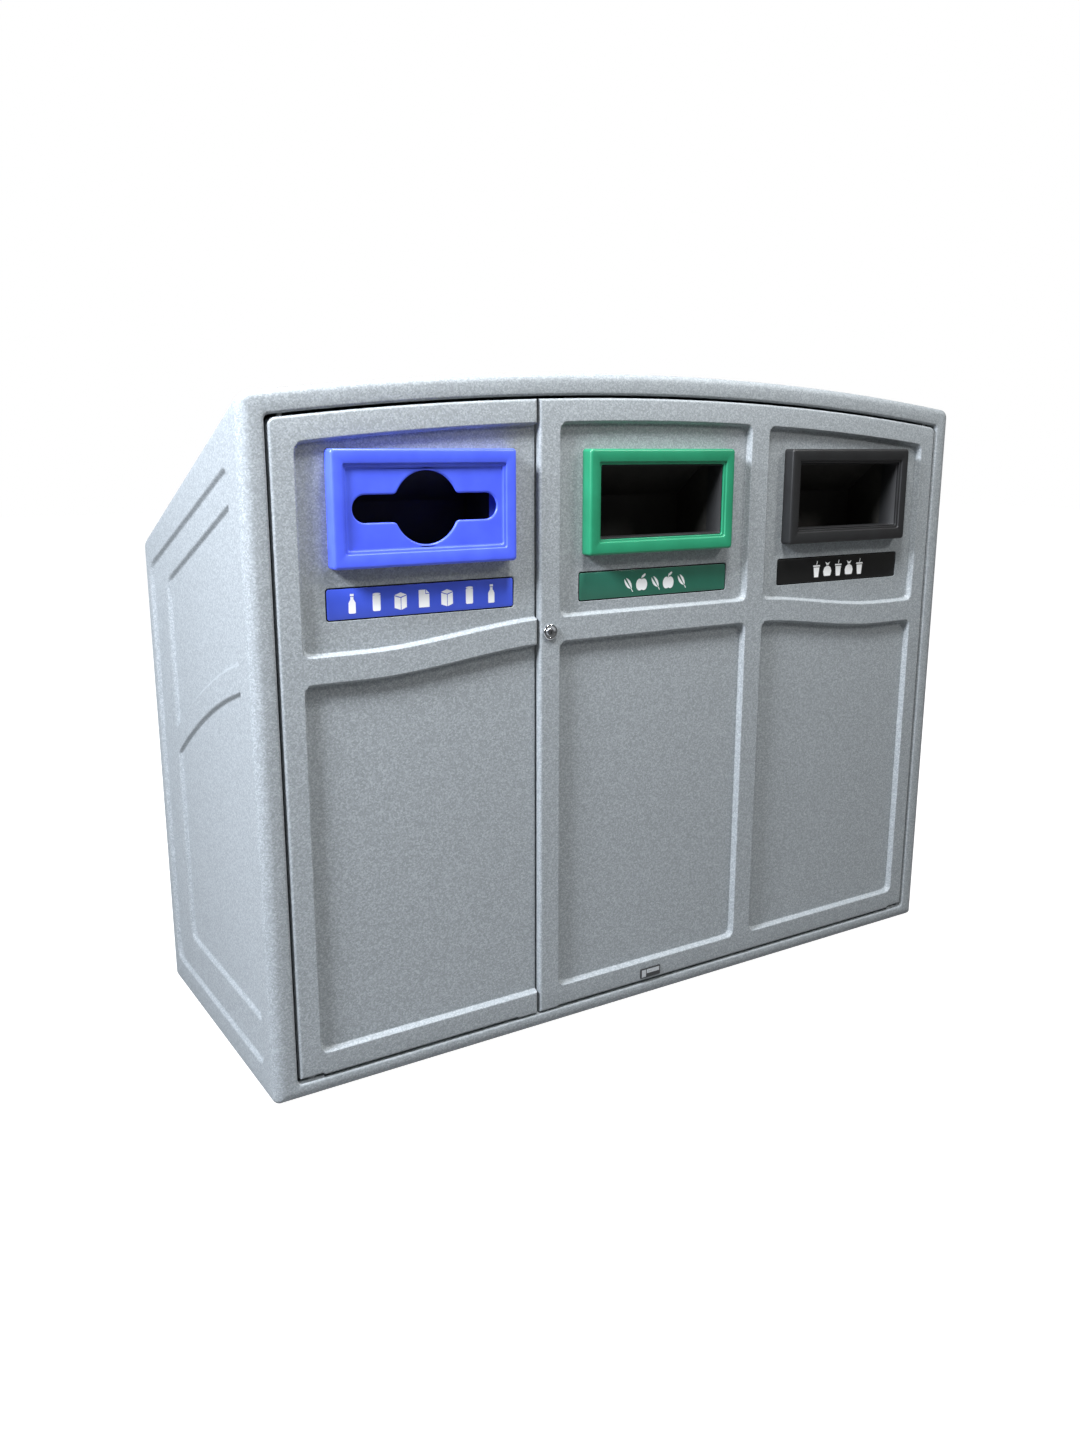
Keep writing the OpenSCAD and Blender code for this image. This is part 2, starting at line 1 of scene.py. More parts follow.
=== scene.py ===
# %% [markdown]
# A recycling bin station stands outdoors as one moulded cabinet with two doors. This lesson builds
# its finished look round a working model that is already made: the frame. The main places and sizes
# come from that frame's boxes. What a box can't give, such as a rail's width, is written in
# millimetres where it is first used, and repeats the working model's drawing.

# %% Load the frame
import math

import bpy
import bmesh
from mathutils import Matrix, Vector
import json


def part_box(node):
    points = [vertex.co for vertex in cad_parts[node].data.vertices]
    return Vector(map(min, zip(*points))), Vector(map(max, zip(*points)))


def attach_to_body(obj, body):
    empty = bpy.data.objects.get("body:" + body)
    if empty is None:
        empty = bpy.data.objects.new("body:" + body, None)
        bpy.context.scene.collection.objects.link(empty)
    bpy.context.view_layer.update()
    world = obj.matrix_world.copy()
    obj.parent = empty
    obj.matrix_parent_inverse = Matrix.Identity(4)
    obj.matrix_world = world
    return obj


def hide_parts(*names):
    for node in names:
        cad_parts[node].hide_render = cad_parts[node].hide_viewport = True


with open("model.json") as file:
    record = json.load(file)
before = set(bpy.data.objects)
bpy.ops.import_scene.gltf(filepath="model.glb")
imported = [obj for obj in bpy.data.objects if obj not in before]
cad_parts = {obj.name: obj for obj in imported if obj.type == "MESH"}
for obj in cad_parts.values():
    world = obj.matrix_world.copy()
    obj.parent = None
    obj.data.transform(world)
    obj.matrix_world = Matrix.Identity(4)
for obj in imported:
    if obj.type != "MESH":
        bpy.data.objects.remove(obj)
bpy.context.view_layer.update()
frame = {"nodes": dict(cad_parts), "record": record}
MM = 0.001

# %% [markdown]
# The cabinet's arched front, its doors and its frame share one arch centre, as a moulder's drawing
# would have it. The boxes of the shell and the two doors give all of the main dimensions.

# %% Main dimensions from the frame
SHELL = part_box("cabinet_shell")
LEFT_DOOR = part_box("left_door_panel")
RIGHT_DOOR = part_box("right_door_panel")
FRONT_Y, REAR_Y = SHELL[0][1], SHELL[1][1]
HALF_W, CROWN_Z = SHELL[1][0], SHELL[1][2]
CROWN_RISE = 51 * MM
ARCH_R = (HALF_W ** 2 + CROWN_RISE ** 2) / (2 * CROWN_RISE)
ARCH_Z = CROWN_Z - ARCH_R
DOOR_R = RIGHT_DOOR[1][2] - ARCH_Z
DOOR_GAP = RIGHT_DOOR[0][0] - LEFT_DOOR[1][0]
OPENING_R = DOOR_R + DOOR_GAP
OPENING_HALF = RIGHT_DOOR[1][0] + DOOR_GAP
DOOR_FOOT = RIGHT_DOOR[0][2]
SILL_Z = DOOR_FOOT - DOOR_GAP
DOOR_BACK = RIGHT_DOOR[1][1]
REAR_CROWN = 1003 * MM
ROOF_FALL = (CROWN_Z - REAR_CROWN) / (REAR_Y - FRONT_Y)


def middle(box):
    """Middle point of a box."""
    return [(a + b) / 2 for a, b in zip(*box)]


def halves(box):
    """Half of a box's size along each axis."""
    return [(b - a) / 2 for a, b in zip(*box)]


def arch(radius, x):
    """Height of the arch of that radius at x."""
    return ARCH_Z + math.sqrt(radius ** 2 - x ** 2)


def smooth(t):
    """0 to 1 with a level start and end, as a moulded step has."""
    t = min(max(t, 0.0), 1.0)
    return t * t * (3 - 2 * t)


print("width", round(2 * HALF_W, 3), "arch radius", round(ARCH_R, 3), "gap", round(DOOR_GAP, 4))

# %% [markdown]
# Rotational moulding gives every edge a soft radius and every recess a sloped, rounded wall. A grid
# whose rows and columns follow the edges, pushed back by a smooth rule, gives those walls cleanly;
# a bevel on flat boxes would leave hard corners where a rail sweeps into a stile.

# %% Mesh tools


def soften(mesh, crease):
    """Smooth shading, but for edges sharper than crease degrees."""
    mesh.shade_smooth()
    mesh.set_sharp_from_angle(angle=math.radians(crease))


def place_mesh(name, mesh, crease):
    """A softened mesh as an object at the origin."""
    soften(mesh, crease)
    made = bpy.data.objects.new(name, mesh)
    bpy.context.scene.collection.objects.link(made)
    return made


def make_object(name, verts, faces, crease=40):
    """A mesh object made from points and faces."""
    mesh = bpy.data.meshes.new(name)
    mesh.from_pydata(verts, [], faces)
    mesh.validate()
    return place_mesh(name, mesh, crease)


def face_outwards(made):
    """Merges doubled points of a closed piece and turns all of its faces outwards."""
    work = bmesh.new()
    work.from_mesh(made.data)
    bmesh.ops.remove_doubles(work, verts=work.verts, dist=1e-6)
    bmesh.ops.recalc_face_normals(work, faces=work.faces)
    work.to_mesh(made.data)
    work.free()


def inside(a, b, corner):
    """Distance inside a corner made by two edges, a and b away, rounded by a radius."""
    if a < corner and b < corner:
        return corner - math.hypot(corner - a, corner - b)
    return min(a, b)


def fill(values, coarse):
    """Adds evenly spaced values wherever two neighbours lie further apart than coarse."""
    values = sorted(set(round(v, 7) for v in values))
    out = [values[0]]
    for low, high in zip(values, values[1:]):
        if high - low < 0.2 * MM:
            continue
        steps = max(1, math.ceil((high - low) / coarse))
        out += [low + (high - low) * i / steps for i in range(1, steps + 1)]
    return out


WALL = 5.5 * MM
WALL_STEPS = [-1.2, 0, 0.5, 1.1, 1.7, 2.4, 3.1, 3.8, 4.4, 5.0, 5.7, 7, 11, 18]
EDGE_R = 5 * MM
EDGE_STEPS = [0, 0.4, 1.0, 1.8, 2.8, 3.9, 5.0]
SEAT_STEPS = [-1.0, 0, 0.5, 1.0, 1.5, 2.5, 5.0]


def beside(place, steps, way):
    """Places at those steps in millimetres from a line, to its higher (1) or lower (-1) side."""
    return [place + way * s * MM for s in steps]


print("moulded walls are", WALL / MM, "mm wide with", len(WALL_STEPS), "grid lines")

# %% [markdown]
# Each door has an outer stile, rails that sweep down towards the ends, and recessed panels. The
# rails' edges are rows of the grid, so the sweep stays smooth from end to end.

# %% Door layout
RECESS = 12 * MM
WEB = 8 * MM
RAIL_W = 40 * MM
FOOT_RAIL = DOOR_FOOT + 42 * MM
MID_TOP, MID_RAIL, MID_DROP = 826 * MM, 44 * MM, 32 * MM
SWEEP_START, SWEEP_END = 247 * MM, 627 * MM
LOCK_STILE = RIGHT_DOOR[0][0] + 43 * MM
BAYS = ("mixed", "compost", "waste")
SURROUNDS = {bay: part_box(bay + "_surround") for bay in BAYS}
LABELS = {bay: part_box(bay + "_label") for bay in BAYS}
BAY_X = {n: middle(box)[0] for n, box in SURROUNDS.items()}
MOUTH_Z = middle(SURROUNDS["waste"])[2]
SURROUND_HALF = halves(SURROUNDS["waste"])[::2]
BORDER, MOUTH_LOWER = 26 * MM, 3 * MM
MOUTH_HALF = (SURROUND_HALF[0] - BORDER, SURROUND_HALF[1] - BORDER - MOUTH_LOWER)
MOUTH_CUT = [v + 4 * MM for v in MOUTH_HALF]
MULLION = (BAY_X["compost"] + BAY_X["waste"]) / 2
MULLION_HALF = 22.5 * MM
SEAT = 3 * MM
PAD_REACH, PAD_LIFT = 50 * MM, 4 * MM
NOTCH_REACH, NOTCH_DROP = 44 * MM, 2.5 * MM
FAR = 9.0  # stands for a panel edge that lies beyond the door
HEAD_CORNER = 13 * MM


def rail_sweep(x):
    """How far the middle rail has dropped at x."""
    return MID_DROP * smooth((abs(x) - SWEEP_START) / (SWEEP_END - SWEEP_START))


def door_foot(x):
    """Lower edge of the doors: it clears the hinge pads and reaches down beside the split."""
    raised = PAD_LIFT * smooth((abs(x) - (OPENING_HALF - PAD_REACH)) / (4 * MM) + 0.5)
    near = min(abs(x - RIGHT_DOOR[0][0]), abs(x - LEFT_DOOR[1][0]))
    return DOOR_FOOT + raised - NOTCH_DROP * smooth((NOTCH_REACH - near) / (4 * MM) + 0.5)


def door_head(x):
    """Upper edge of the doors: the arch, with its outer corners rounded off."""
    return arch(DOOR_R, x) - rounding(min(x - LEFT_DOOR[0][0], RIGHT_DOOR[1][0] - x), HEAD_CORNER)


print("bays at", [round(v, 3) for v in BAY_X.values()], "mouth height", round(MOUTH_Z, 3))

# %% Door relief


def panel_depth(x, z, bays, inset, depth, wall):
    """How deep the recessed panels are at a point, from their rounded outlines."""
    deepest = 0.0
    for low_x, high_x in bays:
        across = min(x - low_x, high_x - x) - inset
        if across <= 0:
            continue
        upper = inside(across, min(z - (MID_TOP - rail_sweep(x)), arch(DOOR_R - RAIL_W, x) - z) - inset,
                       18 * MM)
        lower = inside(across, min(z - FOOT_RAIL, MID_TOP - MID_RAIL - rail_sweep(x) - z) - inset, 18 * MM)
        deepest = max(deepest, depth * smooth(max(upper, lower) / wall))
    return deepest


def seat_depth(x, z, bays):
    """Extra depth of the shallow seats that the label plates lie in."""
    for name in bays:
        low, high = LABELS[name]
        d = inside(min(x - low[0], high[0] - x) + SEAT, min(z - low[2], high[2] - z) + SEAT, 7 * MM)
        if d > 0:
            return 3.0 * MM * smooth(d / (1.2 * MM))
    return 0.0


def rounding(e, radius):
    """How far a rounded edge falls back at a distance e inside its outline."""
    e = max(e, 0.0)
    return 0.0 if e >= radius else radius - math.sqrt(radius ** 2 - (radius - e) ** 2)


# %% Door columns and rows


def door_columns(low_x, high_x, panels, names):
    """Columns that gather at every upright edge of a door."""
    corner = EDGE_STEPS + [7, 9, 11, 13]
    xs = beside(low_x, corner, 1) + beside(high_x, corner, -1)
    for a, b in panels:
        xs += beside(a, WALL_STEPS, 1) + (beside(b, WALL_STEPS, -1) if b < FAR else [])
    for name in names:
        low, high = LABELS[name]
        xs += beside(low[0] - SEAT, SEAT_STEPS, 1) + beside(high[0] + SEAT, SEAT_STEPS, -1)
        xs += [BAY_X[name] - MOUTH_CUT[0], BAY_X[name] + MOUTH_CUT[0]]
    notches = [side * (OPENING_HALF - PAD_REACH) for side in (-1, 1)]
    notches += [LEFT_DOOR[1][0] - NOTCH_REACH, RIGHT_DOOR[0][0] + NOTCH_REACH]
    xs += [n + s * MM for n in notches for s in (-2, 0, 2)]
    return fill([x for x in xs if low_x - 1e-9 <= x <= high_x + 1e-9], 22 * MM)


def door_rows():
    """Rows as functions of x: each follows an edge of a rail, a label, a mouth or the arch."""
    label = LABELS["waste"]
    guides = [
        (door_foot, EDGE_STEPS, 1), (lambda x: FOOT_RAIL, WALL_STEPS, 1),
        (lambda x: MID_TOP - MID_RAIL - rail_sweep(x), WALL_STEPS, -1),
        (lambda x: MID_TOP - rail_sweep(x), WALL_STEPS[:-1], 1),
        (lambda x: label[0][2] - SEAT, SEAT_STEPS, 1), (lambda x: label[1][2] + SEAT, SEAT_STEPS, -1),
        (lambda x: MOUTH_Z - MOUTH_CUT[1], [0], 1), (lambda x: MOUTH_Z + MOUTH_CUT[1], [0], 1),
        (lambda x: arch(DOOR_R - RAIL_W, x), WALL_STEPS, -1), (door_head, EDGE_STEPS, -1),
    ]
    rows = []
    for guide, steps, way in guides:
        near = [lambda x, g=guide, s=s: g(x) + s * MM for s in sorted(way * s for s in steps)]
        if rows:
            low, high = rows[-1], near[0]
            count = max(1, round((high(0) - low(0)) / (26 * MM)))
            rows += [lambda x, a=low, b=high, f=i / count: a(x) * (1 - f) + b(x) * f
                     for i in range(1, count)]
        rows += near
    return rows


ROWS = door_rows()
print("each door has", len(ROWS), "rows that follow its rails")

# %% Door builder


def build_door(name, box, panels, names):
    """One moulded door: a front grid, a back grid, their edges and the mouths cut through both."""
    low_x, high_x = box[0][0], box[1][0]
    columns = door_columns(low_x, high_x, panels, names)
    wide, tall = len(columns), len(ROWS)
    pockets = [(a, b if b < FAR else high_x - 38 * MM) for a, b in panels]
    verts = []
    for back in (False, True):
        for row in ROWS:
            for x in columns:
                z = row(x)
                edge = min(x - low_x, high_x - x, z - door_foot(x), door_head(x) - z)
                if back:
                    depth = panel_depth(x, z, pockets, 6 * MM, DOOR_BACK - FRONT_Y - RECESS - WEB, 8 * MM)
                    y = DOOR_BACK - max(rounding(edge, 3 * MM), depth)
                else:
                    depth = panel_depth(x, z, panels, 0, RECESS, WALL) + seat_depth(x, z, names)
                    y = FRONT_Y + max(rounding(edge, EDGE_R), depth)
                verts.append((x, y, z))
    cut = {(i, j) for i in range(wide - 1) for j in range(tall - 1) for n in names
           if abs((columns[i] + columns[i + 1]) / 2 - BAY_X[n]) < MOUTH_CUT[0]
           and abs((ROWS[j](BAY_X[n]) + ROWS[j + 1](BAY_X[n])) / 2 - MOUTH_Z) < MOUTH_CUT[1]}
    faces = []
    back = wide * tall
    for i in range(wide - 1):
        for j in range(tall - 1):
            if (i, j) in cut:
                continue
            a, b = j * wide + i, (j + 1) * wide + i
            faces += [(a, a + 1, b + 1, b), (back + a, back + b, back + b + 1, back + a + 1)]
            for (di, dj), (p, q) in {(0, -1): (a, a + 1), (0, 1): (b + 1, b),
                                     (-1, 0): (b, a), (1, 0): (a + 1, b + 1)}.items():
                u, v = i + di, j + dj
                if (u, v) in cut or not (0 <= u < wide - 1 and 0 <= v < tall - 1):
                    faces.append((q, p, back + p, back + q))
    made = make_object(name, verts, faces)
    print(name, wide, "columns,", len(faces), "faces")
    return made


left_door = build_door("left_door_moulding", LEFT_DOOR, [(LEFT_DOOR[0][0] + RAIL_W, FAR)], ["mixed"])
right_door = build_door("right_door_moulding", RIGHT_DOOR,
                        [(LOCK_STILE, MULLION - MULLION_HALF),
                         (MULLION + MULLION_HALF, RIGHT_DOOR[1][0] - RAIL_W)], ["compost", "waste"])

# %% [markdown]
# The cabinet is one hollow skin. Loops of points run round it like the hoops of a barrel: from the
# middle of the back, out over the rounded rear edges, along the sides and roof, round the front
# edge, into the door opening and back inside to the rear wall. Joining the loops in order gives a
# closed shell with an even wall and no seam.

# %% Side relief of the cabinet
SIDE_STEP = 6.5 * MM
SIDE_WALL_W = 9 * MM
TOP_ROUND, FOOT_ROUND = 24 * MM, 12 * MM
RELIEF_STEPS = [-2, 0, 1.2, 2.5, 3.8, 5.2, 6.5, 7.8, 9, 11]


def side_front(z):
    """Front end of the side's recesses, which leans back a little towards the top."""
    return FRONT_Y + (51 + 19 * z / (1112 * MM)) * MM


def side_guides(y):
    """Heights of the side's edges at y, from the foot up: two bands, the rib, and two slopes."""
    back = y - FRONT_Y
    bend = 0.433 * (back - 72 * MM) ** 2
    return {"first_foot": 53 * MM, "second_foot": 133 * MM,
            "low_rib": 739 * MM - 0.2705 * (back - 72 * MM) - bend,
            "high_rib": 782 * MM - 0.262 * (back - 72 * MM) - bend,
            "second_top": 1058 * MM - 0.387 * (back - 63 * MM),
            "first_top": 1112 * MM - 0.382 * (back - 70 * MM)}


def side_relief(y, z):
    """Depth of the side's two-step recess at a point; an arched rib crosses the deeper step."""
    back, edge = y - FRONT_Y, side_guides(y)
    ahead = y - side_front(z)
    first = inside(inside(ahead, z - edge["first_foot"], 26 * MM),
                   inside(607 * MM - back, edge["first_top"] - z, 26 * MM), 26 * MM)
    second = inside(inside(ahead - 2 * MM, z - edge["second_foot"], 26 * MM),
                    inside(508 * MM - back, edge["second_top"] - z, 26 * MM), 26 * MM)
    second = inside(second, max(edge["low_rib"] - z, z - edge["high_rib"]), 8 * MM)
    return SIDE_STEP * (smooth(first / SIDE_WALL_W) + smooth(second / SIDE_WALL_W))


def side_top(y):
    """Height at which the cabinet's side meets the rounded edge of the roof."""
    reach = ARCH_R - TOP_ROUND
    return ARCH_Z + math.sqrt(reach ** 2 - (HALF_W - TOP_ROUND) ** 2) - ROOF_FALL * (y - FRONT_Y)


def side_heights(y, low, high):
    """Heights of a loop's side points: always as many, gathered at the edges, scaled to the loop."""
    edge = side_guides(y)
    foot, top = FOOT_ROUND, side_top(y)
    heights = [foot]
    for name, way, gap_count in (("first_foot", 1, 2), ("second_foot", 1, 3), ("low_rib", -1, 22),
                                 ("high_rib", 1, 2), ("second_top", -1, 12), ("first_top", -1, 2)):
        near = sorted(edge[name] + way * step * MM for step in RELIEF_STEPS)
        start = heights[-1]
        heights += [start + (near[0] - start) * i / gap_count for i in range(1, gap_count)]
        heights += near
    start = heights[-1]
    heights += [start + (top - start) * i / 4 for i in range(1, 4)]
    return [low + (high - low) * (z - foot) / (top - foot) for z in heights[1:]]


print("side edges at the front:", {k: round(v, 3) for k, v in side_guides(FRONT_Y).items()})

# %% Loops round the cabinet
CORNER_STEPS = 7
TOP_COUNT, FOOT_COUNT = 72, 36


def hoop(y, half, foot, radius, top_round, foot_round, sides=None):
    """One loop in the plane y: an arch-topped outline with rounded corners, always as many points."""
    fall = ROOF_FALL * (y - FRONT_Y) if sides != "level" else 0.0
    centre_x = half - top_round
    lean = math.asin(centre_x / (radius - top_round))
    centre_z = ARCH_Z + (radius - top_round) * math.cos(lean) - fall
    points = []
    for i in range(FOOT_COUNT + 1):
        points.append((-(half - foot_round) + 2 * (half - foot_round) * i / FOOT_COUNT, foot))
    for i in range(1, CORNER_STEPS + 1):
        a = math.pi / 2 * i / CORNER_STEPS
        points.append((half - foot_round + foot_round * math.sin(a), foot + foot_round * (1 - math.cos(a))))
    low, high = foot + foot_round, centre_z
    rise = [(half, z) for z in side_heights(y, low, high)]
    points += rise
    corner = []
    for i in range(CORNER_STEPS + 1):
        a = (math.pi / 2 - lean) * i / CORNER_STEPS
        corner.append((centre_x + top_round * math.cos(a), centre_z + top_round * math.sin(a)))
    points += corner
    for i in range(1, TOP_COUNT):
        a = lean * (1 - 2 * i / TOP_COUNT)
        points.append((radius * math.sin(a), ARCH_Z + radius * math.cos(a) - fall))
    points += [(-x, z) for x, z in reversed(corner)]
    points += [(-x, z) for x, z in reversed(rise)]
    for i in range(CORNER_STEPS):
        a = math.pi / 2 * (1 - i / CORNER_STEPS)
        points.append((-(half - foot_round + foot_round * math.sin(a)),
                       foot + foot_round * (1 - math.cos(a))))
    return [(x, y, z) for x, z in points]


def skin_hoop(y, inset, relief=False):
    """A loop of the outer skin, drawn in by inset, with the side relief pressed in."""
    ring = hoop(y, HALF_W - inset, inset, ARCH_R - inset, max(TOP_ROUND - inset, 2 * MM),
                max(FOOT_ROUND - inset, 1.5 * MM))
    if not relief:
        return ring
    pressed = []
    for x, yy, z in ring:
        deep = side_relief(yy, z) if abs(x) > HALF_W - 1e-6 else 0.0
        pressed.append((math.copysign(abs(x) - deep, x), yy, z))
    return pressed


# %% Cabinet skin
FRONT_ROUND, REAR_ROUND = 20 * MM, 24 * MM
QUARTER = [math.pi / 2 * i / 8 for i in range(9)]
FRAME_BACK = FRONT_Y + 62 * MM
INNER_REAR = REAR_Y - 13 * MM
REAR_PANEL = 5 * MM

loops = []
for inset in (380, 200, 110):
    loops.append(skin_hoop(REAR_Y - REAR_PANEL, inset * MM))
for inset, depth in ((98, 1), (95, 0.85), (92, 0.5), (89, 0.15), (86, 0), (70, 0), (40, 0)):
    loops.append(skin_hoop(REAR_Y - REAR_PANEL * depth, inset * MM))
for a in QUARTER:
    loops.append(skin_hoop(REAR_Y - REAR_ROUND * (1 - math.cos(a)), REAR_ROUND * (1 - math.sin(a))))
stations = beside(FRONT_Y, [607, 605.8, 604.4, 603, 601.6, 600.2, 599, 598, 596, 588], 1)
stations += beside(FRONT_Y, [508, 506.8, 505.4, 504, 502.6, 501.2, 500, 499, 497, 489], 1)
stations += beside(FRONT_Y, [46 + 2 * i for i in range(18)] + [86, 92], 1)
stations += [REAR_Y - REAR_ROUND - 1 * MM, FRONT_Y + FRONT_ROUND + 1 * MM]
for y in reversed(fill(stations, 15 * MM)):
    loops.append(skin_hoop(y, 0.0, relief=True))
for a in QUARTER:
    loops.append(skin_hoop(FRONT_Y + FRONT_ROUND * (1 - math.sin(a)), FRONT_ROUND * (1 - math.cos(a))))
print("outer skin:", len(loops), "loops of", len(loops[0]), "points")

# %% Door opening and inside of the cabinet
OPEN_CORNER = 10 * MM
SIDE_SKIN, ROOF_SKIN, FLOOR_TOP = 18 * MM, 14 * MM, 12 * MM


def opening_hoop(y, grow):
    """A loop round the door opening, larger by grow."""
    return hoop(y, OPENING_HALF + grow, SILL_Z - grow, OPENING_R + grow, OPEN_CORNER, OPEN_CORNER, "level")


def inner_hoop(y, inset):
    """A loop of the inner skin, which follows the roof's fall."""
    return hoop(y, HALF_W - SIDE_SKIN - inset, FLOOR_TOP + inset, ARCH_R - ROOF_SKIN - inset,
                12 * MM, 8 * MM)


SILL_ROUND = 5 * MM
for a in QUARTER[::2]:
    loops.append(opening_hoop(FRONT_Y + SILL_ROUND * (1 - math.cos(a)), SILL_ROUND * (1 - math.sin(a))))
loops += [opening_hoop(FRONT_Y + d * MM, 0.0) for d in (20, 40, 60)] + [opening_hoop(FRAME_BACK, 2 * MM)]
loops += [inner_hoop(FRAME_BACK + d, 0.0) for d in (0.0, 0.1, 0.25, 0.4)] + [inner_hoop(INNER_REAR, 0.0)]
loops += [inner_hoop(INNER_REAR, inset * MM) for inset in (60, 200, 380)]


def loft(name, rings):
    """Joins loops of equal length in order and closes both ends with a fan."""
    count = len(rings[0])
    verts = [p for ring in rings for p in ring]
    faces = []
    for k in range(len(rings) - 1):
        for i in range(count):
            j = (i + 1) % count
            a, b = k * count, (k + 1) * count
            faces.append((a + i, b + i, b + j, a + j))
    for k, flip in ((0, False), (len(rings) - 1, True)):
        ring = rings[k]
        verts.append(tuple(sum(p[axis] for p in ring) / count for axis in range(3)))
        for i in range(count):
            j = (i + 1) % count
            fan = (len(verts) - 1, k * count + i, k * count + j)
            faces.append(fan[::-1] if flip else fan)
    return make_object(name, verts, faces)


cabinet = loft("cabinet_moulding", loops)
face_outwards(cabinet)
soften(cabinet.data, 40)
print("cabinet:", len(cabinet.data.polygons), "faces")

# %% [markdown]
# Bolts, pins and latch rods run into steel-lined holes in the moulding. A boolean cuts them all at
# once with one tool made of plain cylinders, which is cleaner than working holes into the loft.

# %% Holes through the floor and the frame
ROUND = 32


def cylinders(name, stands):
    """Upright closed cylinders, given as centre x, centre y, radius, foot and top."""
    verts, faces = [], []
    for x, y, radius, low, high in stands:
        first = len(verts)
        for z in (low, high):
            for i in range(ROUND):
                a = 2 * math.pi * i / ROUND
                verts.append((x + radius * math.cos(a), y + radius * math.sin(a), z))
        faces += [(first + i, first + (i + 1) % ROUND, first + ROUND + (i + 1) % ROUND, first + ROUND + i)
                  for i in range(ROUND)]
        faces += [tuple(range(first + ROUND - 1, first - 1, -1)),
                  tuple(range(first + ROUND, first + 2 * ROUND))]
    return make_object(name, verts, faces)


def run_modifier(made, modifier):
    """Keeps what a modifier makes of a piece as its plain mesh, and removes the modifier."""
    depsgraph = bpy.context.evaluated_depsgraph_get()
    made.data = bpy.data.meshes.new_from_object(made.evaluated_get(depsgraph))
    made.modifiers.remove(modifier)


def cut(made, tool):
    """Takes a tool's shape out of a piece and removes the tool."""
    bite = made.modifiers.new("bite", "BOOLEAN")
    bite.object, bite.operation, bite.solver = tool, "DIFFERENCE", "EXACT"
    run_modifier(made, bite)
    bpy.data.objects.remove(tool)
    soften(made.data, 40)


MOUNTS = {m["name"]: m for m in frame["record"]["mounts"]}
ANCHORS = MOUNTS["anchor_holes"]["dims"]
holes = []
for side_x in (-1, 1):
    for side_y in (-1, 1):
        holes.append((side_x * ANCHORS["spacing_x_mm"] / 2 * MM, side_y * ANCHORS["spacing_y_mm"] / 2 * MM,
                      ANCHORS["hole_r_mm"] * MM, -5 * MM, 20 * MM))
for node in ("upper_strike_ferrule", "lower_strike_ferrule", "bolt_strike_ferrule"):
    low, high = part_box(node)
    grow = 2 * MM if low[2] > 1 else 0
    holes.append((middle((low, high))[0], middle((low, high))[1], (high[0] - low[0]) / 2 + 0.05 * MM,
                  low[2] - grow, high[2] + (0 if grow else 3 * MM)))
cut(cabinet, cylinders("hole_tool", holes))
print("cabinet after", len(holes), "holes:", len(cabinet.data.polygons), "faces")

# %% [markdown]
# Each mouth has a plastic surround that clips over a cut-out in the door. Its outer edge is softly
# rounded, and a narrow bead runs round inside. One cross-section, carried round a rounded
# rectangle, gives all of it. A bevel could not give the bead.

# %% Outlines and skins
CORNER_POINTS = 8


def rounded_rect(centre, half_x, half_z, corner, y):
    """A loop of points round a rectangle with round corners, in the plane y."""
    loop = []
    for turn, (sx, sz) in enumerate(((1, 1), (-1, 1), (-1, -1), (1, -1))):
        for i in range(CORNER_POINTS):
            a = math.pi / 2 * (turn + i / (CORNER_POINTS - 1))
            loop.append((centre[0] + sx * (half_x - corner) + corner * math.cos(a), y,
                         centre[1] + sz * (half_z - corner) + corner * math.sin(a)))
    return loop


def skin(rings, first=0, closed=False):
    """Faces between loops of equal length; closed joins the last loop to the first."""
    count = len(rings[0])
    faces = []
    for k in range(len(rings) if closed else len(rings) - 1):
        a, b = first + k * count, first + (k + 1) % len(rings) * count
        faces += [(a + i, a + (i + 1) % count, b + (i + 1) % count, b + i) for i in range(count)]
    return faces


def tube(name, rings, crease):
    """A piece whose skin runs through its loops and joins the last to the first."""
    made = make_object(name, [p for ring in rings for p in ring], skin(rings, closed=True), crease)
    face_outwards(made)
    return made


def capped(name, rings, crease):
    """A piece whose skin runs through its loops and is closed by a flat face at both ends."""
    count, points = len(rings[0]), [p for ring in rings for p in ring]
    ends = [tuple(range(count)), tuple(range(len(points) - count, len(points)))]
    made = make_object(name, points, skin(rings) + ends, crease)
    face_outwards(made)
    soften(made.data, crease)
    return made


def border_rings(centre, half_x, half_z, corner, section):
    """Loops for a cross-section given as distance in from the edge and depth y."""
    return [rounded_rect(centre, half_x - d, half_z - d, max(corner - d, 0.6 * MM), y) for d, y in section]


def arc(d0, y0, d1, y1, steps=5, hollow=False):
    """A quarter-round from one point of a cross-section to another."""
    points = []
    for i in range(steps + 1):
        a = math.pi / 2 * i / steps
        s, c = (1 - math.cos(a), math.sin(a)) if hollow else (math.sin(a), 1 - math.cos(a))
        points.append((d0 + (d1 - d0) * c, y0 + (y1 - y0) * s))
    return points


print("each surround's corner has", CORNER_POINTS, "points")

# %% Open surrounds
SURROUND_FRONT = SURROUNDS["waste"][0][1]
PANEL_Y = SURROUNDS["waste"][1][1]
SURROUND_WALL = 4 * MM
EDGE, BEAD = 5 * MM, 1.1 * MM
SURROUND_CORNER, STEP = 6 * MM, 3.2 * MM


def outer_section(step, land):
    """The outer edge, the flat band and the bead that steps down to the land."""
    front = SURROUND_FRONT
    return ([(0.0, PANEL_Y)] + arc(0.0, front + EDGE, EDGE, front, 6)
            + arc(land - step - 2 * BEAD, front, land - step - BEAD, front + step / 2, 3, True)
            + arc(land - step - BEAD, front + step / 2, land - step, front + step, 3)[1:])


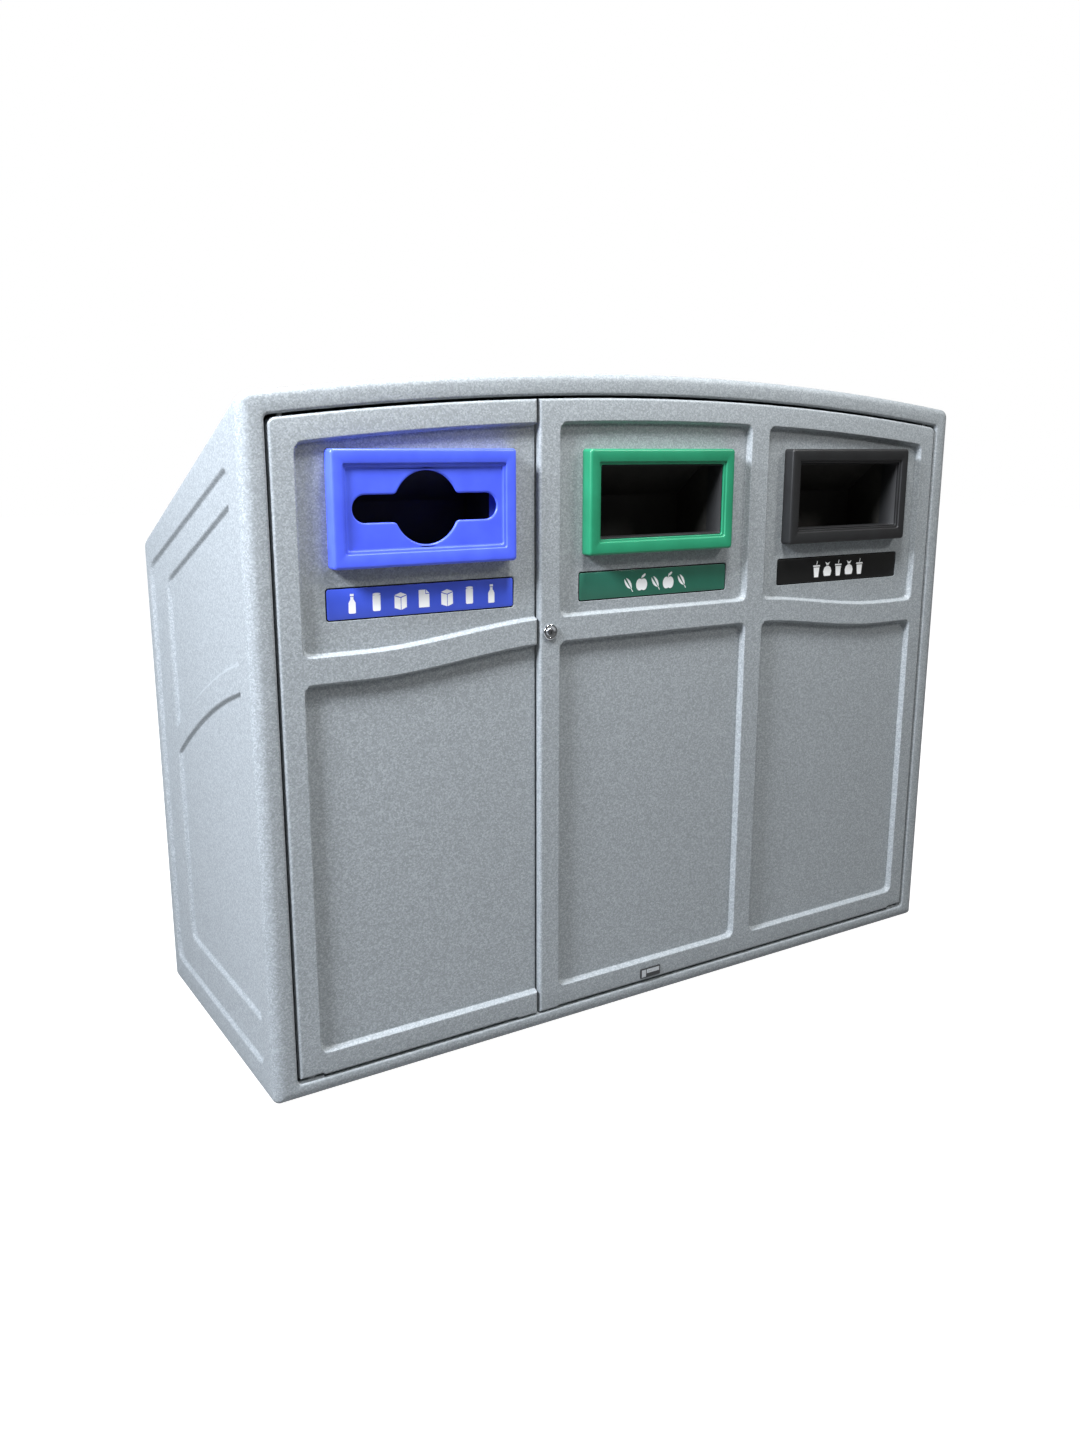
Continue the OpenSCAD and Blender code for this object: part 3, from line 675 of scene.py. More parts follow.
def open_section():
    """Cross-section of an open surround: over the front, through the mouth and back behind."""
    front, mouth = SURROUND_FRONT, BORDER
    return (outer_section(STEP, mouth - 1 * MM)
            + arc(mouth - 1.5 * MM, front + STEP, mouth, front + STEP + 1.5 * MM, 4, True)
            + [(mouth, PANEL_Y), (mouth - SURROUND_WALL, PANEL_Y),
               (mouth - SURROUND_WALL, front + 2 * SURROUND_WALL),
               (SURROUND_WALL, front + 2 * SURROUND_WALL), (SURROUND_WALL, PANEL_Y)])


def mouth_corner_rings(centre, section):
    """Like border_rings, with the inner loops shaped to the mouth, which is a little lower."""
    rings = []
    for d, y in section:
        share = smooth((d - 10 * MM) / (8 * MM))
        rings.append(rounded_rect(centre, SURROUND_HALF[0] - d, SURROUND_HALF[1] - d - MOUTH_LOWER * share,
                                  SURROUND_CORNER - 2 * MM * smooth(d / (12 * MM)), y))
    return rings


def build_open_surround(name, bay):
    made = tube(name, mouth_corner_rings((BAY_X[bay], MOUTH_Z), open_section()), 50)
    print(name, len(made.data.polygons), "faces")
    return made


compost_surround = build_open_surround("compost_mouth_surround", "compost")
waste_surround = build_open_surround("waste_mouth_surround", "waste")

# %% [markdown]
# The mixed mouth has a plate with one opening for bottles and flat paper: a circle crossed by a
# slot. Four arcs blend the two, and every loop of its edge has the same number of points, so the
# moulded lip can be rolled by offsetting the outline.

# %% Bottle and paper opening
BOTTLE_R, SLOT_HALF_W, SLOT_HALF_H, BLEND = 62 * MM, 137 * MM, 23 * MM, 9 * MM
PLATE_FRONT = SURROUND_FRONT + 6 * MM


def mouth_outline(grow, y):
    """The circle-and-slot outline, moved outwards by grow."""
    r, h, f = BOTTLE_R + grow, SLOT_HALF_H + grow, BLEND - grow
    blend_x = math.sqrt((BOTTLE_R + BLEND) ** 2 - (SLOT_HALF_H + BLEND) ** 2)
    meet = math.atan2(SLOT_HALF_H + BLEND, blend_x)
    end_x = SLOT_HALF_W - SLOT_HALF_H
    quarter = [(end_x + h * math.sin(a), -h * math.cos(a))
               for a in [math.pi / 2 + math.pi / 2 * i / 8 for i in range(9)]]
    quarter += [(blend_x + f * math.cos(a), SLOT_HALF_H + BLEND + f * math.sin(a))
                for a in [-math.pi / 2 - (math.pi / 2 - meet) * i / 5 for i in range(6)]]
    quarter += [(r * math.cos(a), r * math.sin(a))
                for a in [meet + (math.pi / 2 - meet) * i / 12 for i in range(1, 13)]]
    loop = quarter + [(-x, z) for x, z in reversed(quarter[:-1])]
    loop += [(-x, -z) for x, z in quarter[1:]] + [(x, -z) for x, z in reversed(quarter[1:-1])]
    return [(BAY_X["mixed"] + x, y, MOUTH_Z + z) for x, z in loop]


def span(work, outer, inner):
    """Fills the flat ring between two loops of vertices with triangles."""
    edges = []
    for loop in (outer, inner):
        for a, b in zip(loop, loop[1:] + loop[:1]):
            edges.append(work.edges.get((a, b)) or work.edges.new((a, b)))
    bmesh.ops.triangle_fill(work, use_beauty=True, edges=edges)


def build_mixed_surround():
    """A surround with a recessed plate: a closed skin inside and out, holed by the outline."""
    centre = (BAY_X["mixed"], MOUTH_Z)
    front = (outer_section(STEP, BORDER - 1 * MM)
             + arc(BORDER - 1.5 * MM, SURROUND_FRONT + STEP, BORDER, SURROUND_FRONT + STEP + 1.5 * MM,
                   3, True)
             + [(BORDER + 0.4 * MM, PLATE_FRONT - 0.5 * MM), (BORDER + 1.2 * MM, PLATE_FRONT),
                (BORDER + 4 * MM, PLATE_FRONT)])
    back = [(BORDER, PLATE_FRONT + SURROUND_WALL), (BORDER - SURROUND_WALL, PLATE_FRONT + SURROUND_WALL),
            (SURROUND_WALL, PLATE_FRONT + SURROUND_WALL), (SURROUND_WALL, PANEL_Y)]
    rings = mouth_corner_rings(centre, front)
    back_rings = mouth_corner_rings(centre, back)
    lip = [mouth_outline(5 * MM, PLATE_FRONT)]
    lip += [mouth_outline(3 * MM * (1 - math.sin(a)), PLATE_FRONT + 3 * MM * (1 - math.cos(a)))
            for a in [math.pi / 2 * i / 5 for i in range(6)]]
    lip.append(mouth_outline(0.0, PLATE_FRONT + SURROUND_WALL))
    work = bmesh.new()
    groups = [[[work.verts.new(p) for p in ring] for ring in group]
              for group in (rings, back_rings, lip)]
    for group in groups:
        for low, high in zip(group, group[1:]):
            for i in range(len(low)):
                j = (i + 1) % len(low)
                work.faces.new((low[i], low[j], high[j], high[i]))
    span(work, groups[0][-1], groups[2][0])
    span(work, groups[1][0], groups[2][-1])
    first, last = groups[0][0], groups[1][-1]
    for i in range(len(first)):
        j = (i + 1) % len(first)
        work.faces.new((first[i], first[j], last[j], last[i]))
    bmesh.ops.recalc_face_normals(work, faces=work.faces)
    mesh = bpy.data.meshes.new("mixed_mouth_surround")
    work.to_mesh(mesh)
    work.free()
    print("mixed_mouth_surround", len(mesh.polygons), "faces")
    return place_mesh("mixed_mouth_surround", mesh, 50)


mixed_surround = build_mixed_surround()

# %% [markdown]
# Behind each mouth a short sleeve lines the raw edge of the door: blue at the end of the paper
# slot, and a black lip that frames the two open mouths. It is a thin tube with a rolled rear edge.

# %% Sleeves
SLEEVE_WALL = 2.6 * MM


def build_sleeve(name, bay, front, back):
    """A thin rectangular tube just inside a mouth, between two depths."""
    section = ((0.3 * MM, front + 0.8 * MM), (0.3 * MM, back), (SLEEVE_WALL - 0.8 * MM, back + 0.6 * MM),
               (SLEEVE_WALL, back), (SLEEVE_WALL, front + 0.8 * MM), (SLEEVE_WALL - 0.8 * MM, front),
               (1.0 * MM, front))
    rings = [rounded_rect((BAY_X[bay], MOUTH_Z), MOUTH_HALF[0] - d, MOUTH_HALF[1] - d,
                          max(4 * MM - d, 0.8 * MM), y) for d, y in section]
    made = tube(name, rings, 50)
    print(name, round((back - front) / MM, 1), "mm deep")
    return made


mixed_sleeve = build_sleeve("mixed_sleeve", "mixed", PLATE_FRONT + 5 * MM, DOOR_BACK + 4 * MM)
black_lips = {bay: build_sleeve(bay + "_lip", bay, SURROUND_FRONT + 7 * MM, DOOR_BACK + 4 * MM)
              for bay in ("compost", "waste")}

# %% [markdown]
# A printed plate sits in a shallow seat under each mouth, on a dark foam gasket whose thin black outline
# round the plate is a painted shadow line. The signs on it are raised white pictograms. Each is a few
# closed prisms cut from
# plain outlines: a bottle, a can, a carton and a sheet; a leaf and an apple; a cup and a tied bag.

# %% Flat plates
PLATE_BEVEL = 0.6 * MM


def prism(name, outlines, front, back):
    """Closed prisms from flat outlines of (x, z) points, between two depths."""
    verts, faces = [], []
    for outline in outlines:
        first, count = len(verts), len(outline)
        verts += [(x, y, z) for y in (front, back) for x, z in outline]
        faces += [tuple(range(first, first + count)),
                  tuple(range(first + 2 * count - 1, first + count - 1, -1))]
        faces += [(first + i, first + count + i, first + count + (i + 1) % count, first + (i + 1) % count)
                  for i in range(count)]
    made = make_object(name, verts, faces, 30)
    face_outwards(made)
    soften(made.data, 30)
    return made


def slab(name, centre, half_x, half_z, corner, front, back):
    """A flat plate with round corners and a small bevel round its face."""
    section = [(0.0, back), (0.0, front + PLATE_BEVEL), (0.3 * PLATE_BEVEL, front + 0.3 * PLATE_BEVEL),
               (PLATE_BEVEL, front)]
    return capped(name, border_rings(centre, half_x, half_z, corner, section), 60)


# The gaskets are black so that their rim paints the shadow line round each label seat.
label_plates, label_shadow_gaskets = {}, {}
for bay, box in LABELS.items():
    centre, (half_x, half_z) = middle(box)[::2], halves(box)[::2]
    label_plates[bay] = slab(bay + "_label_plate", centre, half_x, half_z, 4 * MM,
                             PANEL_Y + 0.3 * MM, PANEL_Y + 2.2 * MM)
    label_shadow_gaskets[bay] = slab(bay + "_label_shadow_gasket", centre, half_x + 2.5 * MM, half_z + 2.5 * MM, 6 * MM,
                              PANEL_Y + 1.3 * MM, PANEL_Y + 2.6 * MM)
print("label plates are", round(2 * half_x / MM), "by", round(2 * half_z / MM, 1), "mm")

# %% Pictograms


def turned_outline(profile):
    """A symmetric outline from (height, half width) pairs in millimetres."""
    return [(w, z) for z, w in profile] + [(-w, z) for z, w in reversed(profile)]


def blob(x, z, rx, rz, start=0.0, end=360.0, count=18):
    """Points along an ellipse, in millimetres."""
    steps = count if end - start < 360 else count - 1
    return [(x + rx * math.cos(math.radians(start + (end - start) * i / steps)),
             z + rz * math.sin(math.radians(start + (end - start) * i / steps))) for i in range(count)]


def lean(points, degrees, dx=0.0, dz=0.0):
    """Turns an outline about the origin, then moves it."""
    c, s = math.cos(math.radians(degrees)), math.sin(math.radians(degrees))
    return [(x * c - z * s + dx, x * s + z * c + dz) for x, z in points]


HALF_LEAF = blob(-6.5, 0, 11, 13, -54, 54, 12)
SIGNS = {
    "bottle": [turned_outline([(-13, 4), (-12, 5), (1, 5), (6, 2.1), (9, 2.1)]),
               turned_outline([(10, 2.6), (13, 2.6)])],
    "can": [turned_outline([(-12, 4.4), (-10.5, 5.6), (9, 5.6)]), blob(0, 10.6, 5.6, 1.6)],
    "carton": [[(-9, -10), (0, -13), (0, 3), (-9, 6)], [(1, -13), (9, -10), (9, 6), (1, 3)],
               [(-9, 7.2), (0, 4.2), (9, 7.2), (0, 10.5)]],
    "sheet": [[(-8, -12), (8, -12), (8, 6), (2, 6), (2, 12), (-8, 12)], [(3, 7), (8, 7), (3, 12)]],
    "leaf": [lean(HALF_LEAF, 35, 0.6), lean([(-x, z) for x, z in HALF_LEAF], 35, -0.6),
             lean([(-0.5, -16), (0.5, -16), (0.5, -11), (-0.5, -11)], 35)],
    "apple": [blob(-4, -3, 6.5, 9, 60, 300, 16) + blob(4, -3, 6.5, 9, -120, 120, 16),
              lean(blob(0, 0, 4, 1.8), 40, 4, 10.5),
              lean([(-0.6, 0), (0.6, 0), (0.6, 5), (-0.6, 5)], -12, 0, 6)],
    "cup": [turned_outline([(-13, 4.6), (3.5, 6.6)]), turned_outline([(4.7, 7.8), (7.2, 7.8)]),
            lean([(-0.7, 0), (0.7, 0), (0.7, 6), (-0.7, 6)], -14, 0, 8.2)],
    "bag": [turned_outline([(-12, 6), (-11, 8), (-4, 9.5), (2, 7.5), (5, 2.6)]),
            turned_outline([(6.2, 2.4), (12, 5.5), (9.5, 0.1)])],
}
ROWS_OF_SIGNS = {"mixed": ["bottle", "can", "carton", "sheet", "carton", "can", "bottle"],
                 "compost": ["leaf", "apple", "leaf", "apple", "leaf"],
                 "waste": ["cup", "bag", "cup", "bag", "cup"]}
SIGN_PITCH = {"mixed": 45, "compost": 33, "waste": 33}
SIGN_SCALE = 1.28
label_signs = {}
for bay, signs in ROWS_OF_SIGNS.items():
    sign_x, _, sign_z = middle(LABELS[bay])
    outlines = []
    for place, sign in enumerate(signs):
        shift = (place - (len(signs) - 1) / 2) * SIGN_PITCH[bay]
        for shape in SIGNS[sign]:
            outlines.append([(sign_x + (SIGN_SCALE * x + shift) * MM, sign_z + SIGN_SCALE * z * MM)
                             for x, z in shape])
    label_signs[bay] = prism(bay + "_label_signs", outlines, PANEL_Y + 0.05 * MM, PANEL_Y + 0.6 * MM)
print({bay: len(signs) for bay, signs in ROWS_OF_SIGNS.items()}, "signs on the plates")

# %% Blank nameplate
PLATE_LOW, PLATE_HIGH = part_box("nameplate")
plate_x, _, plate_z = middle((PLATE_LOW, PLATE_HIGH))
plate_half_x, _, plate_half_z = halves((PLATE_LOW, PLATE_HIGH))
plate_face = PLATE_LOW[1]
nameplate_rim = slab("nameplate_rim", (plate_x, plate_z), plate_half_x, plate_half_z, 2 * MM,
                     plate_face, PLATE_HIGH[1])
nameplate_fields = prism("nameplate_fields", [
    [(plate_x + x * MM, plate_z + z * MM) for x, z in corners] for corners in (
        ((-23, -8), (-12, -8), (-12, 8), (-23, 8)), ((-10, -1), (23, -1), (23, 8), (-10, 8)))],
    plate_face - 0.3 * MM, plate_face + 0.5 * MM)
print("nameplate is", round(2 * plate_half_x / MM), "mm long and blank")

# %% [markdown]
# The cam lock's ring is turned and polished. A lathe profile spun about the lock's axis gives the
# rolled rim and the dished face that make a small chrome part catch the light.

# %% Lock ring
LOCK_LOW, LOCK_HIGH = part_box("lock_barrel")
LOCK_X, _, LOCK_Z = middle((LOCK_LOW, LOCK_HIGH))
BORE_R, SPIN = 6.1 * MM, 48
RING_R = (LOCK_HIGH[0] - LOCK_LOW[0]) / 2
ROLL = 2.2 * MM
lock_profile = [(9.4 * MM, LOCK_HIGH[1]), (9.4 * MM, FRONT_Y), (RING_R, FRONT_Y)]
for i in range(7):
    a = math.pi / 2 * i / 6
    lock_profile.append((RING_R - ROLL * (1 - math.cos(a)), LOCK_LOW[1] + ROLL * (1 - math.sin(a))))
lock_profile += [(10.6 * MM, LOCK_LOW[1]), (9.8 * MM, LOCK_LOW[1] + 0.5 * MM),
                 (BORE_R + 0.8 * MM, LOCK_LOW[1] + 1.4 * MM), (BORE_R, LOCK_LOW[1] + 1.7 * MM),
                 (BORE_R, LOCK_HIGH[1])]


def turned(name, profile, centre_x, centre_z):
    """Spins a closed (radius, depth) profile about an axis along Y."""
    angles = [2 * math.pi * i / SPIN for i in range(SPIN)]
    rings = [[(centre_x + r * math.cos(a), y, centre_z + r * math.sin(a)) for a in angles]
             for r, y in profile]
    made = tube(name, rings, 35)
    soften(made.data, 35)
    return made


lock_ring = turned("lock_ring", lock_profile, LOCK_X, LOCK_Z)
print("lock ring is", round(2 * RING_R / MM, 1), "mm across")

# %% [markdown]
# Each bay holds a rigid liner: a deep, slightly tapered tub with a rolled rim to hang a bag on. It
# is lofted from rounded rectangles, outside up, over the rim and down inside.

# %% Liners
TUB_CORNER, TUB_WALL, TUB_TAPER = 30 * MM, 4 * MM, 8 * MM


def tub_loop(box, inset, corner, z):
    """A level rounded rectangle inside a liner's box."""
    half_x, half_y, _ = halves(box)
    flat = rounded_rect(middle(box)[:2], half_x - inset, half_y - inset, corner, z)
    return [(x, y, height) for x, height, y in flat]


def build_liner(name, node):
    low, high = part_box(node)
    foot, top, rim = low[2], high[2], 10 * MM
    outside = [(rim + TUB_TAPER + 10 * MM, foot), (rim + TUB_TAPER + 3 * MM, foot + 3 * MM),
               (rim + TUB_TAPER, foot + 11 * MM), (rim + 0.4 * TUB_TAPER, foot + 0.6 * (top - foot)),
               (rim, top - 20 * MM), (rim - 1 * MM, top - 17 * MM), (1.5 * MM, top - 16 * MM),
               (0.0, top - 14 * MM), (0.0, top - 4 * MM), (1.2 * MM, top - 1.2 * MM), (4 * MM, top)]
    inner = [(rim + TUB_WALL - 3 * MM, top), (rim + TUB_WALL, top - 3 * MM),
             (rim + 0.4 * TUB_TAPER + TUB_WALL, foot + 0.6 * (top - foot)),
             (rim + TUB_TAPER + TUB_WALL, foot + 14 * MM), (rim + TUB_TAPER + 12 * MM, foot + TUB_WALL)]
    rings = [tub_loop((low, high), d, max(TUB_CORNER + 6 * MM - d, 8 * MM), z) for d, z in outside + inner]
    return capped(name, rings, 50)


liners = {side: build_liner(side + "_tub", side + "_liner") for side in ("left", "middle", "right")}

# %% [markdown]
# Geometry Nodes suit what repeats: the mouths' fixing screws, the guides' screws, the ribs that the
# liners stand on and the pads under the hinges. Each tree has named inputs for its sizes, and each
# result is kept as a plain mesh.

# %% A helper that adds a node


def put(tree, kind, values=None, links=None):
    """Adds a node: values go to its properties or inputs, links to its inputs."""
    node = tree.nodes.new(kind)
    for key, value in (values or {}).items():
        if isinstance(key, str) and hasattr(node, key):
            setattr(node, key, value)
        else:
            node.inputs[key].default_value = value
    for key, source in (links or {}).items():
        tree.links.new(source, node.inputs[key])
    return node


def new_tree(name, inputs):
    """A geometry tree with one output and the named inputs, given as name: (type, value)."""
    tree = bpy.data.node_groups.new(name, "GeometryNodeTree")
    tree.interface.new_socket("Geometry", in_out="OUTPUT", socket_type="NodeSocketGeometry")
    for label, (kind, value) in inputs.items():
        socket = tree.interface.new_socket(label, in_out="INPUT", socket_type="NodeSocket" + kind)
        socket.default_value = value
    return tree, put(tree, "NodeGroupInput").outputs


def run_tree(name, tree, material, **values):
    """Runs a tree with those inputs and keeps the result as a plain mesh object."""
    holder = bpy.data.objects.new(name, bpy.data.meshes.new(name))
    bpy.context.scene.collection.objects.link(holder)
    run = holder.modifiers.new("nodes", "NODES")
    run.node_group = tree
    for item in tree.interface.items_tree:
        if item.in_out == "INPUT" and item.name in values:
            run[item.identifier] = values[item.name]
    for item in tree.nodes:
        if item.bl_idname == "GeometryNodeSetMaterial":
            item.inputs["Material"].default_value = material
    run_modifier(holder, run)
    print(name, len(holder.data.polygons), "faces,", [round(v / MM, 1) for v in holder.dimensions], "mm")
    return holder


def end_tree(tree, points, instance):
    """Ends a tree: a copy at every point, made real and given its material."""
    spread = put(tree, "GeometryNodeInstanceOnPoints", links={"Points": points, "Instance": instance})
    whole = put(tree, "GeometryNodeRealizeInstances", links={"Geometry": spread.outputs[0]})
    dressed = put(tree, "GeometryNodeSetMaterial", links={"Geometry": whole.outputs[0]})
    put(tree, "NodeGroupOutput", links={"Geometry": dressed.outputs[0]})
    print(tree.name, "has", len(tree.nodes), "nodes")


print("tree helpers are ready")

# %% Screw tree
screw_tree, given = new_tree("fixing_screws", {
    "Place": ("Vector", (0.0, 0.0, 0.0)), "Across": ("Float", 0.1), "Up": ("Float", 0.1),
    "Columns": ("Int", 2), "Rows": ("Int", 2), "Shank Radius": ("Float", 0.0025), "Shank": ("Float", 0.02),
    "Head Radius": ("Float", 0.005), "Head": ("Float", 0.0025)})
half = put(screw_tree, "ShaderNodeMath", {"operation": "MULTIPLY", 1: -0.5},
           {0: given["Shank"]}).outputs[0]
shank = put(screw_tree, "GeometryNodeMeshCylinder", {"Vertices": 16},
            {"Radius": given["Shank Radius"], "Depth": given["Shank"]})
shank_at = put(screw_tree, "ShaderNodeCombineXYZ", links={"Z": half})
shank = put(screw_tree, "GeometryNodeTransform", links={"Geometry": shank.outputs["Mesh"],
                                                        "Translation": shank_at.outputs[0]})
rim = put(screw_tree, "ShaderNodeMath", {"operation": "MULTIPLY", 1: 0.72},
          {0: given["Head Radius"]}).outputs[0]
head = put(screw_tree, "GeometryNodeMeshCone", {"Vertices": 24},
           {"Radius Top": rim, "Radius Bottom": given["Head Radius"], "Depth": given["Head"]})
head_left = head.outputs["Mesh"]
for turn, deep in ((0.0, 0.5), (math.pi / 2, 0.47)):
    size = put(screw_tree, "ShaderNodeVectorMath", {"operation": "MULTIPLY", 1: (1.1, 0.26, deep)},
               {0: given["Head Radius"]})
    bar = put(screw_tree, "GeometryNodeMeshCube", links={"Size": size.outputs[0]})
    top = put(screw_tree, "ShaderNodeCombineXYZ", links={"Z": given["Head"]})
    bar = put(screw_tree, "GeometryNodeTransform", {"Rotation": (0.0, 0.0, turn)},
              {"Geometry": bar.outputs["Mesh"], "Translation": top.outputs[0]})
    slotted = put(screw_tree, "GeometryNodeMeshBoolean", {"operation": "DIFFERENCE"},
                  {"Mesh 1": head_left, "Mesh 2": bar.outputs[0]})
    head_left = slotted.outputs["Mesh"]
clean = put(screw_tree, "GeometryNodeMergeByDistance", {"Distance": 0.02 * MM}, {"Geometry": head_left})
screw = put(screw_tree, "GeometryNodeJoinGeometry")
for part in (clean.outputs[0], shank.outputs[0]):
    screw_tree.links.new(part, screw.inputs[0])
faced = put(screw_tree, "GeometryNodeTransform", {"Rotation": (-math.pi / 2, 0.0, 0.0)},
            {"Geometry": screw.outputs[0]})
grid = put(screw_tree, "GeometryNodeMeshGrid", links={
    "Size X": given["Across"], "Size Y": given["Up"], "Vertices X": given["Columns"],
    "Vertices Y": given["Rows"]})
upright = put(screw_tree, "GeometryNodeTransform", {"Rotation": (math.pi / 2, 0.0, 0.0)},
              {"Geometry": grid.outputs["Mesh"], "Translation": given["Place"]})
end_tree(screw_tree, upright.outputs[0], faced.outputs[0])

# %% Bar tree
bar_tree, given = new_tree("rounded_bars", {
    "Place": ("Vector", (0.0, 0.0, 0.0)), "Count": ("Int", 3), "Pitch": ("Float", 0.1),
    "Width": ("Float", 0.03), "Height": ("Float", 0.02), "Length": ("Float", 0.5),
    "Corner": ("Float", 0.004)})
outline = put(bar_tree, "GeometryNodeCurvePrimitiveQuadrilateral",
              links={"Width": given["Width"], "Height": given["Height"]})
soft = put(bar_tree, "GeometryNodeFilletCurve", {"mode": "POLY", "Count": 4},
           {"Curve": outline.outputs[0], "Radius": given["Corner"]})
sheet_face = put(bar_tree, "GeometryNodeFillCurve", {"mode": "NGONS"}, {"Curve": soft.outputs[0]})
standing = put(bar_tree, "GeometryNodeTransform", {"Rotation": (math.pi / 2, 0.0, 0.0)},
               {"Geometry": sheet_face.outputs[0]})
along = put(bar_tree, "ShaderNodeCombineXYZ", links={"Y": given["Length"]})
solid = put(bar_tree, "GeometryNodeExtrudeMesh", {"mode": "FACES", "Individual": False},
            {"Mesh": standing.outputs[0], "Offset": along.outputs[0]})
turned_out = put(bar_tree, "GeometryNodeFlipFaces", links={"Mesh": solid.outputs["Mesh"]})
closed = put(bar_tree, "GeometryNodeJoinGeometry")
for part in (standing.outputs[0], turned_out.outputs[0]):
    bar_tree.links.new(part, closed.inputs[0])
step = put(bar_tree, "ShaderNodeCombineXYZ", links={"X": given["Pitch"]})
line = put(bar_tree, "GeometryNodeMeshLine", links={
    "Count": given["Count"], "Start Location": given["Place"], "Offset": step.outputs[0]})
end_tree(bar_tree, line.outputs[0], closed.outputs[0])

# %% [markdown]
# The body is rotationally moulded polyethylene, ground from several shades of grey pellets. The
# eye reads a fine light and dark grain, a satin orange-peel skin and almost no reflection. Cells
# about as wide as the ground powder's clumps carry the grain, and a softer noise clouds it.

# %% Colours and coordinates


def linear(code):
    """An sRGB hex colour as linear red, green, blue and alpha."""
    parts = [int(code[i:i + 2], 16) / 255 for i in (1, 3, 5)]
    return tuple(v / 12.92 if v <= 0.04045 else ((v + 0.055) / 1.055) ** 2.4 for v in parts) + (1.0,)


def start_finish(name, **sockets):
    """A material with its shader and the object's own coordinates."""
    material = bpy.data.materials.new(name)
    material.use_nodes = True
    tree = material.node_tree
    tree.nodes.clear()
    shader = put(tree, "ShaderNodeBsdfPrincipled", {k.replace("_", " "): v for k, v in sockets.items()})
    put(tree, "ShaderNodeOutputMaterial", links={"Surface": shader.outputs[0]})
    return material, tree, shader, put(tree, "ShaderNodeTexCoord").outputs["Object"]


def blend_colours(tree, share, colours, places):
    """A colour ramp from hex colours at those places."""
    ramp = put(tree, "ShaderNodeValToRGB", links={"Fac": share})
    for extra in places[2:]:
        ramp.color_ramp.elements.new(extra)
    for stop, place, colour in zip(ramp.color_ramp.elements, sorted(places), colours):
        stop.position, stop.color = place, linear(colour)
    return ramp.outputs["Color"]


def vary_roughness(tree, shader, share, low, high):
    """Roughness that wanders between two values with a pattern."""
    level = put(tree, "ShaderNodeMapRange", {"To Min": low, "To Max": high}, {"Value": share})
    tree.links.new(level.outputs[0], shader.inputs["Roughness"])


def raise_surface(tree, shader, height, strength, depth):
    """A relief of that depth in metres, made from a pattern."""
    bump = put(tree, "ShaderNodeBump", {"Strength": strength, "Distance": depth}, {"Height": height})
    tree.links.new(bump.outputs[0], shader.inputs["Normal"])


print("mid grey", [round(v, 3) for v in linear("#8b9093")[:3]])

# %% Granite-grain polyethylene
GRAIN, CLOUD, PEEL = 0.0024, 0.0065, 0.003


def granite_polyethylene():
    """Rotomoulded polyethylene: powder grain, soft clouds over it, and an orange-peel skin."""
    material, tree, shader, where = start_finish("granite_polyethylene", IOR=1.5, Specular_IOR_Level=0.35)
    grain = put(tree, "ShaderNodeTexVoronoi", {"Scale": 1 / GRAIN, "Randomness": 1.0}, {"Vector": where})
    pick = put(tree, "ShaderNodeSeparateColor", links={"Color": grain.outputs["Color"]})
    cloud = put(tree, "ShaderNodeTexNoise", {"Scale": 1 / CLOUD, "Detail": 2.0}, {"Vector": where})
    share = put(tree, "ShaderNodeMix", {"data_type": "FLOAT", "Factor": 0.3},
                {"A": pick.outputs[0], "B": cloud.outputs["Fac"]})
    colour = blend_colours(tree, share.outputs["Result"],
                           ["#7f8588", "#898f92", "#91979b", "#9fa5a9"], [0.12, 0.88, 0.42, 0.62])
    tree.links.new(colour, shader.inputs["Base Color"])
    vary_roughness(tree, shader, cloud.outputs["Fac"], 0.5, 0.66)
    peel = put(tree, "ShaderNodeTexNoise", {"Scale": 1 / PEEL, "Detail": 1.5}, {"Vector": where})
    raise_surface(tree, shader, peel.outputs["Fac"], 0.25, 0.4 * MM)
    return material


GRANITE = granite_polyethylene()
print(GRANITE.name, "has", len(GRANITE.node_tree.nodes), "nodes")

# %% [markdown]
# The surrounds are injection-moulded ABS in one bright colour each: a close, even satin with a
# faint flow mottle. Printed plates are smoother and a little shinier, and their signs are a matt
# white ink.

# %% Moulded plastics


def moulded_plastic(name, dark, light, rough, texture, depth, specular=0.5):
    """A moulded plastic: two near shades in slow clouds, and a fine tooled texture."""
    material, tree, shader, where = start_finish(name, IOR=1.53, Specular_IOR_Level=specular)
    flow = put(tree, "ShaderNodeTexNoise", {"Scale": 1 / 0.06, "Detail": 3.0}, {"Vector": where})
    colour = blend_colours(tree, flow.outputs["Fac"], [dark, light], [0.35, 0.65])
    tree.links.new(colour, shader.inputs["Base Color"])
    fine = put(tree, "ShaderNodeTexNoise", {"Scale": 1 / texture, "Detail": 2.0}, {"Vector": where})
    vary_roughness(tree, shader, fine.outputs["Fac"], rough - 0.05, rough + 0.05)
    raise_surface(tree, shader, fine.outputs["Fac"], 0.25, depth)
    return material


# Satin ABS: even colour, soft highlights along the rolled edges
BLUE_ABS = moulded_plastic("blue_satin_abs", "#4559dc", "#4c62e4", 0.36, 0.0012, 0.05 * MM)
GREEN_ABS = moulded_plastic("green_satin_abs", "#1e7b58", "#22835f", 0.36, 0.0012, 0.05 * MM)
BLACK_ABS = moulded_plastic("black_satin_abs", "#212122", "#252627", 0.4, 0.0012, 0.05 * MM, 0.3)
# Chute polyethylene: black and dull, so that the mouths read as deep
CHUTE_PE = moulded_plastic("black_chute_polyethylene", "#2f2e2c", "#363532", 0.55, 0.003, 0.1 * MM, 0.2)
